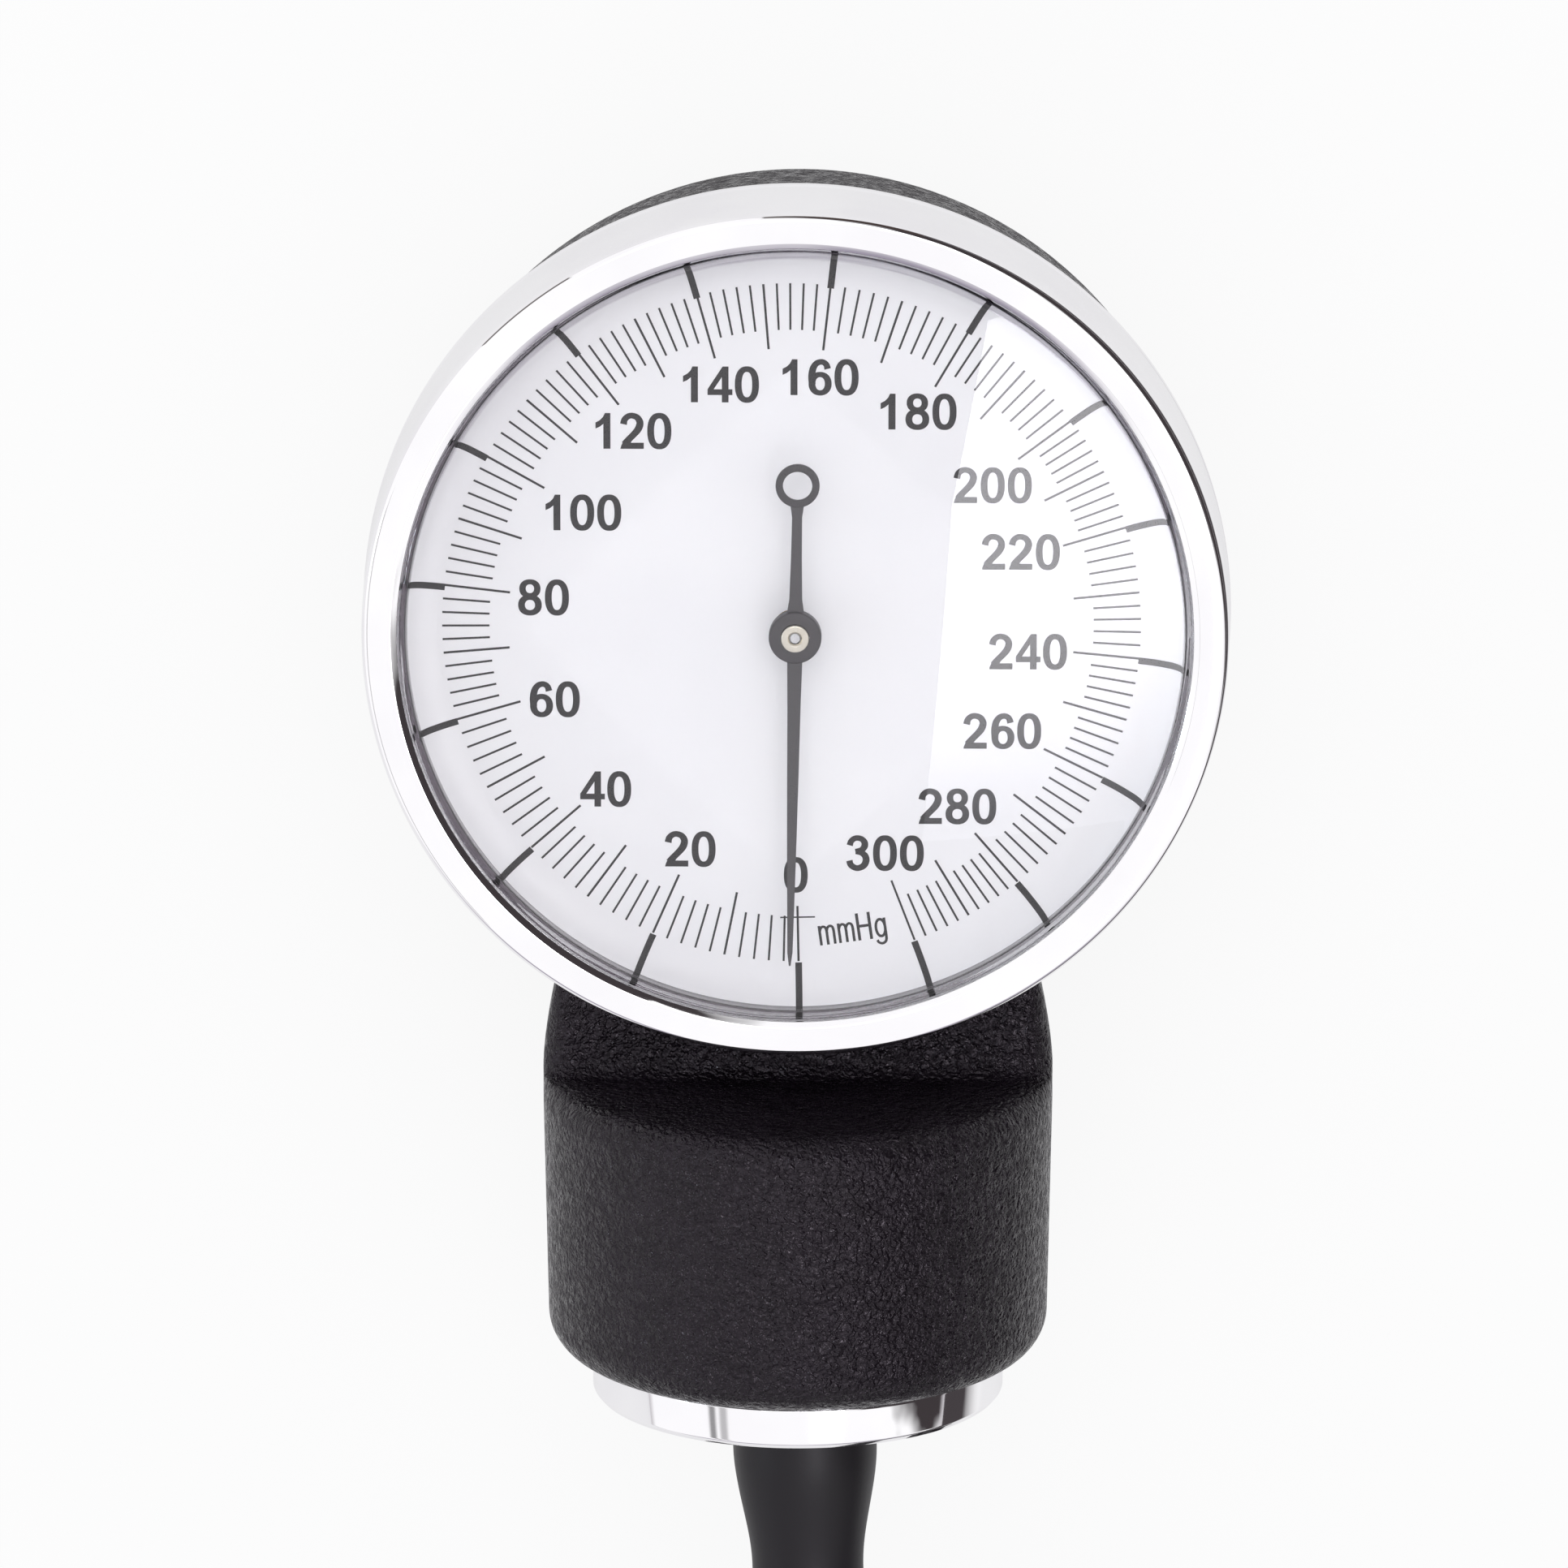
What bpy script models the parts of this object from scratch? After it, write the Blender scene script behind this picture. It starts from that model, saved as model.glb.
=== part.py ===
"""Pocket aneroid sphygmomanometer, lying on its back with its hose coiled beside it.

Metres, +Z up. The dial faces +Z and the head points to +Y, so the capsule, the push rod and the hose lie
along Y. The origin is under the middle of the gauge, on the surface that it lies on. Places along Y are
written from the dial's centre, which lies at y = DIAL_Y, and heights are measured from that surface.
"""

import bmesh
import bpy
from math import acos, atan2, ceil, cos, degrees, hypot, pi, radians, sin, sqrt, tan
from mathutils import Matrix, Vector

MM = 0.001

# Clearances and mesh fineness
SEAT = 0.05 * MM          # between faces that are clamped or pressed together
RUN = 0.08 * MM           # around a turning or sliding shaft, on the radius
OVERRUN = 1.0 * MM        # how far a cutter passes its wall
EMBED = 0.15 * MM         # how far shapes that join into one solid reach into each other
MERGE = 0.0001 * MM
ROUND_SIDES = 56          # of the large round pieces
COVERED_SIDES = 40        # of the round pieces behind the lens and in the base
CAPSULE_SIDES = 28
CASE_SIDES = 40           # of the loft that makes the base and the neck
SMALL_SIDES = 16          # of shafts and screws
HUB_SIDES = 28            # of the pointer's hub and ring, and of the hose's flared end
FITTING_SIDES = 24        # of the barbed stem and the hose's connector

# Case: a base cylinder across the foot, a drum behind the dial and a neck that joins them
BASE_RADIUS = 17.9 * MM
BASE_DRAFT = 0.3 * MM     # how much slimmer the base is at its foot
BASE_HEIGHT = 20.3 * MM
BASE_WALL = 4.3 * MM      # round the capsule's room
BASE_GAP = 4.6 * MM       # from the bezel's edge down to the base's shelf
BASE_FOOT_ROUND = 3.0 * MM
SHELF_ROUND = 1.9 * MM
SHELF_DRAFT = 0.2 * MM    # how much lower the shelf is at its front than at the neck
CASE_WALL = 2.2 * MM
DRUM_INSET = 2.0 * MM     # how much slimmer the drum is than the bezel, on the radius
DRUM_WALL = 2.8 * MM
DRUM_BACK_DROP = 11.9 * MM      # from the base's axis down to the drum's back
DRUM_BACK_ROUND = 2.5 * MM
NECK_FRONT_RISE = 2.0 * MM      # from the base's axis up to the neck's front
NECK_EDGE_ROUND = 2.0 * MM
NECK_CROWN = 0.2 * MM     # how much the neck's front stands higher in the middle than at its edges
NECK_TAPER = 4.8 * MM     # how much narrower the neck's top is than the base, on each side
NECK_REACH = 10.2 * MM    # how far the neck's top lies inside the drum's room
NECK_SHOULDER = 0.6 * MM  # from the shelf up to where the neck begins to narrow
NECK_FRONT_WALL = 1.0 * MM
CHANNEL_WIDTH = 9.0 * MM
CHANNEL_DEPTH = 6.6 * MM

# Bezel, lens, gasket and dial, from the front
BEZEL_RADIUS = 30.0 * MM
BEZEL_FRONT_RISE = 13.5 * MM    # from the base's axis up to the bezel's front
BEZEL_DEPTH = 9.4 * MM
BEZEL_TAPER = 0.3 * MM    # how much slimmer the bezel is at its front, on the radius
BEZEL_LIP_WIDTH = 2.7 * MM
BEZEL_SKIRT = 0.9 * MM
BEZEL_LIP = 0.55 * MM
BEZEL_ROLL = 0.75 * MM    # thickness of the rolled back edge, which grips the case's flange
BEZEL_EDGE_ROUND = 0.35 * MM
LENS_RIM = 0.95 * MM
LENS_THICKNESS = 1.25 * MM
LENS_RISE = 3.0 * MM
GASKET_THICKNESS = 0.4 * MM
GASKET_WIDTH = 1.3 * MM
DIAL_THICKNESS = 0.4 * MM
DIAL_DEPTH = 1.9 * MM     # from the dial's flange down to its flat face
DIAL_CURVE = 3.1 * MM     # width of the dial's upturned rim
DIAL_RIM_INSET = 0.2 * MM       # of the dial's rim inside the bezel's opening
DIAL_HOLE_RADIUS = 1.2 * MM
DIAL_LEDGE_DROP = 3.0 * MM      # from the case's flange down to the ledge under the dial's rim

# Pointer and its bush
POINTER_SHORTFALL = 1.05 * MM    # from the pointer's tip to where the dial's rim begins
POINTER_ROOT_WIDTH = 1.05 * MM
POINTER_TIP_WIDTH = 0.3 * MM
POINTER_THICKNESS = 0.3 * MM
POINTER_LIFT = 2.6 * MM   # from the dial's face to the blade
HUB_RADIUS = 1.8 * MM
HUB_THICKNESS = 1.0 * MM
TAIL_LENGTH = 10.6 * MM
TAIL_WIDTH = 0.8 * MM
TAIL_RING_RADIUS = 1.5 * MM
TAIL_RING_WALL = 0.5 * MM
TAIL_RING_THICKNESS = 0.4 * MM
BUSH_RADIUS = 0.98 * MM
BUSH_LENGTH = 1.3 * MM
BUSH_PROUD = 0.25 * MM    # how far the bush stands over the hub
POINTER_REST = radians(0.9)     # clockwise from straight down
SCALE_ZERO = radians(-1.0)
SCALE_END = radians(339.4)

# Movement: two plates on pillars, a sector gear on one arbor and the pinion and pointer on the other
MOVEMENT_MARGIN = 5.2 * MM      # from the drum's room to the back plate's edge
PLATE_THICKNESS = 1.0 * MM
BACK_PLATE_DROP = 5.3 * MM      # from the base's axis, where the gears lie, down to the back plate's top
FRONT_PLATE_RISE = 4.5 * MM     # and up to the front plate's top
BACK_PLATE_FLAT_SHARE = 0.95    # where the back plate is cut straight at its foot, of its radius
FRONT_PLATE_MARGIN = 3.4 * MM
PILLAR_SHARES = ((-0.755, -0.54), (0.58, -0.68), (0.0, 0.45))   # of the back plate's radius
PILLAR_RADIUS = 1.75 * MM
PILLAR_SPIGOT_RADIUS = 0.9 * MM
PILLAR_BORE_DEPTH = 4.0 * MM
BOSS_RADIUS = 2.6 * MM
BOSS_MARGIN = 2.5 * MM          # from a movement screw to the back plate's edge
MOVEMENT_SCREW_ANGLES = (radians(50), radians(170), radians(297))
CENTRES_SHARE = 0.9             # distance between the two arbors, of the back plate's radius
PINION_TEETH = 12
GEAR_RATIO = 9
GEAR_BACKLASH = 0.07 * MM
PRESSURE_ANGLE = radians(20)
SECTOR_ADDENDUM_SHARE = 0.8     # of the gears' module, as are the next two
PINION_ADDENDUM_SHARE = 0.95
DEDENDUM_SHARE = 1.2
FLANK_SHARES = (0.0, 0.35, 0.68, 1.0)
SECTOR_THICKNESS = 1.2 * MM
PINION_THICKNESS = 2.0 * MM
SECTOR_RIM = 2.6 * MM
SECTOR_HUB_RADIUS = 1.7 * MM
SECTOR_SPOKE = 3.2 * MM
LEVER_ARM = 3.0 * MM            # from the sector's pivot to the push rod's line
LEVER_WIDTH = 1.5 * MM
LEVER_OVERHANG = 1.3 * MM
ARBOR_RADIUS = 0.5 * MM
ARBOR_TIP_RADIUS = 0.34 * MM
SECTOR_ARBOR_RADIUS = 0.7 * MM
ARBOR_END = 0.4 * MM            # how far an arbor stands out of a plate

# Screws
SCREW_RADIUS = 0.8 * MM
SCREW_HEAD_RADIUS = 1.5 * MM
SCREW_HEAD_HEIGHT = 0.8 * MM
SCREW_SLOT_WIDTH = 0.45 * MM
SCREW_SLOT_DEPTH = 0.4 * MM
SCREW_LENGTH = 3.0 * MM
SCREW_BORE_SPARE = 0.5 * MM     # of a bore past its screw's end
CLIP_SCREW_LENGTH = 2.6 * MM

# Hairspring
SPRING_TURNS = 4
SPRING_POINTS = 16              # in each turn
SPRING_STRIP = 0.16 * MM
SPRING_HEIGHT = 0.8 * MM
SPRING_RISE = 2.1 * MM          # from the base's axis up to the spring's middle
SPRING_SHARE = 0.28             # its radius, of the back plate's
COLLET_RADIUS = 1.2 * MM
COLLET_HEIGHT = 1.3 * MM
STUD_RADIUS = 0.45 * MM

# Pressure capsule, push rod and guide
CAPSULE_MARGIN = 1.0 * MM       # round the capsule in its room
CAPSULE_RIM = 1.1 * MM
CAPSULE_SHEET = 0.3 * MM
CAPSULE_BULGE = 1.5 * MM
CAPSULE_WAVE = 0.35 * MM
CAPSULE_WAVES = 2
CAPSULE_RISE = 8.4 * MM         # from the base's foot up to where the two diaphragms meet
CAPSULE_EYE_RADIUS = 2.6 * MM
ROD_RADIUS = 0.6 * MM
ROD_FOOT_RADIUS = 2.3 * MM
ROD_FOOT_HEIGHT = 1.0 * MM
ROD_TIP_GAP = 0.15 * MM
GUIDE_RADIUS = 1.8 * MM
GUIDE_FLANGE_RADIUS = 2.8 * MM
GUIDE_FLANGE_HEIGHT = 0.8 * MM

# Base cap with its seal, and the barbed stem
CAP_OVERLAP = 0.9 * MM          # of the cap round the capsule's room
CAP_HEIGHT = 3.0 * MM
CAP_EDGE_ROUND = 0.3 * MM
CAP_FLOOR = 1.1 * MM
CAP_SPIGOT_HEIGHT = 3.6 * MM
CAP_HUB_RADIUS = 4.2 * MM
SEAL_SECTION = 0.9 * MM
STEM_RADIUS = 2.3 * MM
STEM_COLLAR_RADIUS = 3.2 * MM
STEM_COLLAR_HEIGHT = 0.7 * MM
STEM_BORE_RADIUS = 1.1 * MM
STEM_LENGTH = 9.0 * MM
STEM_BARB = 0.45 * MM           # how far a barb stands out
STEM_BARBS = 2
STEM_BARB_LENGTH = 2.4 * MM
STEM_NOSE = 1.2 * MM

# Clip on the back, a bent strip that hooks over the cuff's loop
CLIP_WIDTH = 12.0 * MM
CLIP_SHEET = 0.8 * MM
CLIP_TOP = 15.0 * MM
CLIP_FOOT = -17.0 * MM
TONGUE_FOOT = -8.0 * MM
TONGUE_BEVEL = 0.5 * MM
CLIP_SCREW_SPREAD = 7.4 * MM
CLIP_SCREW_PLACE = -13.6 * MM
CLIP_PAD_FLOOR = 1.1 * MM       # over the end of a clip screw's bore
CLIP_BEND_POINTS = 8

# Hose: flared where it is pushed over the stem, then a free run, then the coil, then its connector
HOSE_DIAMETER = 7.9 * MM
HOSE_FLARE_DIAMETER = 10.2 * MM
HOSE_FLARE_STRAIGHT = 4.2 * MM
HOSE_FLARE_LENGTH = 10.9 * MM
HOSE_FLARE_POINTS = 8
HOSE_JOIN = 0.3 * MM            # the gap between stretches, which keeps their end faces apart
HOSE_EXIT_STRAIGHT = 3.3 * MM   # of the free run, before it turns aside
HOSE_GROUND = 0.05 * MM         # under the coil
# The free run is one soft bend and back. Each end pulls straight on, by its share of the way between them
RUN_LEAVE_SHARE = 0.35
RUN_JOIN_SHARE = 0.495
RUN_STEPS = 18
RUN_STEPS_APART = 8             # of those, the ones before the coil's solid takes over
COIL_INNER_RADIUS = 32.3 * MM   # to the hose's middle line, where the coil starts. It winds outwards
COIL_STEPS = 43
COIL_POINTS = 24                # in each turn
COIL_PITCH = HOSE_DIAMETER * 1.08
COIL_SIDE = COIL_INNER_RADIUS * 0.395       # of the coil's middle, to +X
COIL_DISTANCE = COIL_INNER_RADIUS * 2.4     # from the cap's face to the coil's middle, along Y
HOSE_FALL = COIL_INNER_RADIUS * 3.45        # the way along which the hose comes down to the surface
COIL_RISE = 60.0 * MM           # the last stretch, which climbs a little so that the connector clears the surface
COIL_END_STRAIGHT = 8.2 * MM
LUER_FLANGE_RADIUS = 4.3 * MM
LUER_FLANGE_LENGTH = 1.5 * MM
LUER_NECK_RADIUS = 3.2 * MM
LUER_NECK_LENGTH = 5.0 * MM
LUER_SKIRT_RADIUS = 4.4 * MM
LUER_SKIRT_LENGTH = 7.0 * MM
LUER_SKIRT_WALL = 0.9 * MM
LUER_SPIGOT_RADIUS = 2.0 * MM   # at its tip
LUER_SPIGOT_LENGTH = 8.0 * MM
LUER_SPIGOT_SLOPE = 0.03        # growth of the radius along the spigot
LUER_BORE_RADIUS = 1.1 * MM
LUER_GRIPS = 8
LUER_GRIP_WIDTH = 0.9 * MM
LUER_GRIP_HEIGHT = 0.5 * MM

# Radii that follow
DRUM_RADIUS = BEZEL_RADIUS - DRUM_INSET
DRUM_ROOM_RADIUS = DRUM_RADIUS - DRUM_WALL
BEZEL_INNER_RADIUS = BEZEL_RADIUS - BEZEL_SKIRT
BEZEL_OPENING_RADIUS = BEZEL_RADIUS - BEZEL_LIP_WIDTH
FLANGE_RADIUS = BEZEL_INNER_RADIUS - SEAT
LENS_RADIUS = BEZEL_INNER_RADIUS - SEAT
DIAL_WALL_RADIUS = BEZEL_OPENING_RADIUS - DIAL_RIM_INSET
DIAL_FLAT_RADIUS = DIAL_WALL_RADIUS - DIAL_CURVE
POINTER_LENGTH = DIAL_FLAT_RADIUS - POINTER_SHORTFALL
BACK_PLATE_RADIUS = DRUM_ROOM_RADIUS - MOVEMENT_MARGIN
CENTRES = BACK_PLATE_RADIUS * CENTRES_SHARE
PINION_PITCH = CENTRES / (1 + GEAR_RATIO)
SECTOR_PITCH = PINION_PITCH * GEAR_RATIO
GEAR_MODULE = 2 * PINION_PITCH / PINION_TEETH
SECTOR_TEETH_ROUND = PINION_TEETH * GEAR_RATIO      # as if the sector were a whole wheel
SPRING_RADIUS = BACK_PLATE_RADIUS * SPRING_SHARE
CAPSULE_ROOM_RADIUS = BASE_RADIUS - BASE_WALL
CAPSULE_RADIUS = CAPSULE_ROOM_RADIUS - CAPSULE_MARGIN
CAP_RADIUS = CAPSULE_ROOM_RADIUS + CAP_OVERLAP

# Places along Y that follow, from the dial's centre
BASE_TOP = -BEZEL_RADIUS - BASE_GAP                 # the shelf
BASE_FOOT = BASE_TOP - BASE_HEIGHT
NECK_TOP = NECK_REACH - DRUM_ROOM_RADIUS
CAPSULE_CEILING = BASE_TOP - CASE_WALL
CAPSULE_MIDDLE = BASE_FOOT + CAPSULE_RISE
CAP_FACE = BASE_FOOT - SEAT - CAP_HEIGHT
STEM_END = CAP_FACE - STEM_LENGTH
COIL_MIDDLE = CAP_FACE - COIL_DISTANCE
DIAL_Y = (BEZEL_RADIUS - STEM_END) / 2 - BEZEL_RADIUS
PIVOT_X = -LEVER_ARM
PIVOT_Y = -sqrt(CENTRES ** 2 - LEVER_ARM ** 2)

# Heights that follow
AXIS = BASE_RADIUS              # of the base cylinder, the push rod and the gears
BEZEL_FRONT = AXIS + BEZEL_FRONT_RISE
BEZEL_BACK = BEZEL_FRONT - BEZEL_DEPTH
LENS_TOP = BEZEL_FRONT - BEZEL_LIP - SEAT
LENS_SEAT = LENS_TOP - LENS_RIM
GASKET_TOP = LENS_SEAT - SEAT
DIAL_FLANGE_TOP = GASKET_TOP - GASKET_THICKNESS - SEAT
DIAL_FACE = DIAL_FLANGE_TOP - DIAL_DEPTH
FLANGE_TOP = DIAL_FLANGE_TOP - DIAL_THICKNESS - SEAT
FLANGE_BOTTOM = BEZEL_BACK + BEZEL_ROLL + SEAT
DIAL_LAND = FLANGE_TOP - DIAL_LEDGE_DROP
DRUM_BACK = AXIS - DRUM_BACK_DROP
DRUM_FLOOR = DRUM_BACK + CASE_WALL
NECK_FRONT = AXIS + NECK_FRONT_RISE
BLADE_BOTTOM = DIAL_FACE + POINTER_LIFT
HUB_TOP = BLADE_BOTTOM + (POINTER_THICKNESS + HUB_THICKNESS) / 2
BUSH_TOP = HUB_TOP + BUSH_PROUD
BACK_PLATE_TOP = AXIS - BACK_PLATE_DROP
FRONT_PLATE_TOP = AXIS + FRONT_PLATE_RISE
PLATE_GAP_LOW = BACK_PLATE_TOP
PLATE_GAP_HIGH = FRONT_PLATE_TOP - PLATE_THICKNESS
SPRING_LEVEL = AXIS + SPRING_RISE

# Angles that follow
MESH_LINE = atan2(-PIVOT_Y, -PIVOT_X)               # direction from the sector's pivot to the pinion
POINTER_SWING = SCALE_END - SCALE_ZERO
REST_TURN = (POINTER_REST - (SCALE_ZERO + SCALE_END) / 2) / GEAR_RATIO      # of the sector, from mid-scale


# Materials: name, colour, roughness, metallic
FINISHES = {
    "textured_black": ((0.035, 0.035, 0.04, 1.0), 0.62, 0.0),
    "chrome": ((0.85, 0.85, 0.87, 1.0), 0.08, 1.0),
    "clear_lens": ((0.95, 0.96, 0.97, 0.25), 0.03, 0.0),
    "black_rubber": ((0.03, 0.03, 0.035, 1.0), 0.55, 0.0),
    "white_enamel": ((0.90, 0.89, 0.91, 1.0), 0.40, 0.0),
    "pointer_black": ((0.05, 0.045, 0.055, 1.0), 0.45, 0.0),
    "brass": ((0.78, 0.62, 0.32, 1.0), 0.30, 1.0),
    "bronze_sheet": ((0.72, 0.50, 0.30, 1.0), 0.35, 1.0),
    "steel": ((0.55, 0.55, 0.57, 1.0), 0.25, 1.0),
    "black_nylon": ((0.04, 0.04, 0.045, 1.0), 0.40, 0.0),
    "hose_black": ((0.05, 0.055, 0.065, 1.0), 0.38, 0.0),
}


def clear_scene():
    for thing in list(bpy.data.objects):
        bpy.data.objects.remove(thing, do_unlink=True)


def finish_of(name):
    found = bpy.data.materials.get(name)
    if found:
        return found
    colour, roughness, metallic = FINISHES[name]
    made = bpy.data.materials.new(name)
    made.use_nodes = True
    shader = made.node_tree.nodes["Principled BSDF"]
    shader.inputs["Base Color"].default_value = colour
    shader.inputs["Roughness"].default_value = roughness
    shader.inputs["Metallic"].default_value = metallic
    made.diffuse_color = colour
    return made


def place(name, shape, finish=None, at=(0, 0, 0), turn=None):
    """Makes an object from a bmesh. With no finish it is a cutter, which isn't part of the model."""
    bmesh.ops.remove_doubles(shape, verts=shape.verts, dist=MERGE)
    bmesh.ops.recalc_face_normals(shape, faces=shape.faces)
    mesh = bpy.data.meshes.new(name)
    shape.to_mesh(mesh)
    shape.free()
    thing = bpy.data.objects.new(name, mesh)
    bpy.context.scene.collection.objects.link(thing)
    thing.location = at
    if turn:
        thing.rotation_euler = turn
    if finish is None:
        thing.hide_render = True
        thing.display_type = "WIRE"
        return thing
    mesh.materials.append(finish_of(finish))
    mesh.shade_smooth()
    mesh.set_sharp_from_angle(angle=radians(30))
    return thing


def join(target, other, operation):
    change = target.modifiers.new(operation.lower() + "_" + other.name, "BOOLEAN")
    change.operation = operation
    change.object = other
    other.hide_render = True
    other.display_type = "WIRE"
    return target


def cut(target, cutter):
    return join(target, cutter, "DIFFERENCE")


def add(target, extra):
    return join(target, extra, "UNION")


def turned(outline, sides):
    """A solid of revolution about Z from a closed outline of (radius, height) points."""
    shape = bmesh.new()
    points = [shape.verts.new((radius, 0, height)) for radius, height in outline]
    edges = []
    for first, second in zip(points, points[1:] + points[:1]):
        if first.co.x > 0 or second.co.x > 0:
            edges.append(shape.edges.new((first, second)))
    bmesh.ops.spin(
        shape, geom=points + edges, cent=(0, 0, 0), axis=(0, 0, 1), angle=2 * pi,
        steps=sides, use_duplicate=False,
    )
    return shape


def plate(outline, low, high):
    """A flat plate between two heights, from an outline of (x, y) points that runs anticlockwise."""
    shape = bmesh.new()
    face = shape.faces.new([shape.verts.new((x, y, low)) for x, y in outline])
    raised = bmesh.ops.extrude_face_region(shape, geom=[face])["geom"]
    lifted = [item for item in raised if isinstance(item, bmesh.types.BMVert)]
    bmesh.ops.translate(shape, verts=lifted, vec=(0, 0, high - low))
    bmesh.ops.triangulate(shape, faces=[f for f in shape.faces if len(f.verts) > 4])
    return shape


def block(low, high):
    """A box between two corners."""
    shape = bmesh.new()
    bmesh.ops.create_cube(shape, size=1)
    size = [b - a for a, b in zip(low, high)]
    middle = [(a + b) / 2 for a, b in zip(low, high)]
    bmesh.ops.transform(shape, verts=shape.verts, matrix=Matrix.LocRotScale(middle, None, size))
    return shape


def rod(radius, low, high, sides=SMALL_SIDES):
    return turned([(0, low), (radius, low), (radius, high), (0, high)], sides)


def tube(inner, outer, low, high, sides=SMALL_SIDES):
    return turned([(inner, low), (outer, low), (outer, high), (inner, high)], sides)


def arc(middle, radius, start, end, steps):
    """Points on an arc, for an outline's round stretches."""
    angles = [start + (end - start) * step / steps for step in range(steps + 1)]
    return [(middle[0] + radius * cos(a), middle[1] + radius * sin(a)) for a in angles]


def ease(share):
    """0 to 1 with a level start and end."""
    return share * share * (3 - 2 * share)


# Along-Y pieces are turned about Z and laid down: their height runs from the cap's face towards the head
LAID = (-pi / 2, 0, 0)


def along(place_from_dial):
    """World y of a place that is measured from the dial's centre."""
    return DIAL_Y + place_from_dial


def laid(name, shape, finish=None, x=0):
    """Places a piece turned about Z so that its axis lies along +Y, with heights measured from the dial."""
    return place(name, shape, finish, (x, DIAL_Y, AXIS), LAID)


# Case

def case_section(middle, half_width, back_depth, front_radius, flat_front, sides):
    """One ring of the case's neck and base, in X and Z about the base axis."""
    ring = []
    for side in range(sides):
        angle = 2 * pi * (side + 0.5) / sides
        x, z = cos(angle), sin(angle)
        if z < 0:
            ring.append(Vector((half_width * x, middle, AXIS + back_depth * z)))
            continue
        high = front_radius * z
        wide = x * (half_width + (front_radius - half_width) * ease(min(1, z * 2)))
        if flat_front:
            limit = NECK_FRONT - AXIS - NECK_CROWN * x * x
            start = limit - NECK_EDGE_ROUND
            if high > start:
                high = start + (limit - start) * ease(min(1, (high - start) / (2 * (limit - start))))
        ring.append(Vector((wide, middle, AXIS + high)))
    return ring


def case_rings(sides):
    """Rings from the foot of the base to the top of the neck."""
    rings = []
    for step in range(5):
        angle = pi / 2 * step / 4
        radius = BASE_RADIUS - BASE_DRAFT - BASE_FOOT_ROUND * (1 - sin(angle))
        up = BASE_FOOT + BASE_FOOT_ROUND * (1 - cos(angle))
        rings.append(case_section(along(up), radius, radius, radius, False, sides))
    for step in range(4):
        angle = pi / 2 * step / 3
        front = BASE_RADIUS - SHELF_ROUND * (1 - cos(angle))
        up = BASE_TOP - SHELF_DRAFT - SHELF_ROUND * (1 - sin(angle))
        rings.append(case_section(along(up), BASE_RADIUS, BASE_RADIUS, front, False, sides))
    back_top = AXIS - DRUM_BACK - EMBED
    steps = 8
    for step in range(steps + 1):
        share = step / steps
        up = BASE_TOP + (NECK_TOP - BASE_TOP) * share
        narrow = max(0, (up - BASE_TOP - NECK_SHOULDER) / (NECK_TOP - BASE_TOP - NECK_SHOULDER))
        half = BASE_RADIUS - NECK_TAPER * narrow * sqrt(narrow)
        back = BASE_RADIUS + (back_top - BASE_RADIUS) * ease(min(1, share * 1.5))
        rings.append(case_section(along(up), half, back, BASE_RADIUS, True, sides))
    return rings


def neck_and_base():
    sides = CASE_SIDES
    shape = bmesh.new()
    rings = [[shape.verts.new(point) for point in ring] for ring in case_rings(sides)]
    for low, high in zip(rings, rings[1:]):
        for side in range(sides):
            after = (side + 1) % sides
            shape.faces.new((low[side], low[after], high[after], high[side]))
    for ring in (rings[0][::-1], rings[-1]):
        middle = shape.verts.new((0, ring[0].co.y, AXIS))
        for side in range(sides):
            shape.faces.new((ring[side], ring[(side + 1) % sides], middle))
    # The sides' quads are slightly bent, so they are split before the drum is joined on
    bmesh.ops.triangulate(shape, faces=[face for face in shape.faces if len(face.verts) > 3])
    return shape


def drum():
    """The round cup behind the dial: a flange that the bezel grips and a ledge round the dial's curved rim."""
    fillet = arc((DRUM_RADIUS - DRUM_BACK_ROUND, DRUM_BACK + DRUM_BACK_ROUND), DRUM_BACK_ROUND, -pi / 2, 0, 5)
    ledge_radius = DIAL_WALL_RADIUS + DIAL_THICKNESS + SEAT
    outline = [(0, DRUM_BACK)] + fillet + [
        (DRUM_RADIUS, FLANGE_BOTTOM), (FLANGE_RADIUS, FLANGE_BOTTOM), (FLANGE_RADIUS, FLANGE_TOP),
        (ledge_radius, FLANGE_TOP), (ledge_radius, DIAL_LAND), (DRUM_ROOM_RADIUS, DIAL_LAND),
        (DRUM_ROOM_RADIUS, DRUM_FLOOR), (0, DRUM_FLOOR),
    ]
    return turned(outline, ROUND_SIDES)


def neck_trim():
    """What the neck loses to the drum's room. It ends inside the drum's wall and floor."""
    radius = (DRUM_ROOM_RADIUS + DRUM_RADIUS) / 2
    return rod(radius, DRUM_BACK + CASE_WALL / 2, BEZEL_FRONT, ROUND_SIDES)


def movement_screw_places():
    circle = BACK_PLATE_RADIUS - BOSS_MARGIN
    return [(circle * cos(angle), circle * sin(angle)) for angle in MOVEMENT_SCREW_ANGLES]


def pillar_places():
    return [(BACK_PLATE_RADIUS * x, BACK_PLATE_RADIUS * y) for x, y in PILLAR_SHARES]


def clip_screw_places():
    return [(side * CLIP_SCREW_SPREAD / 2, CLIP_SCREW_PLACE) for side in (-1, 1)]


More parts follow.
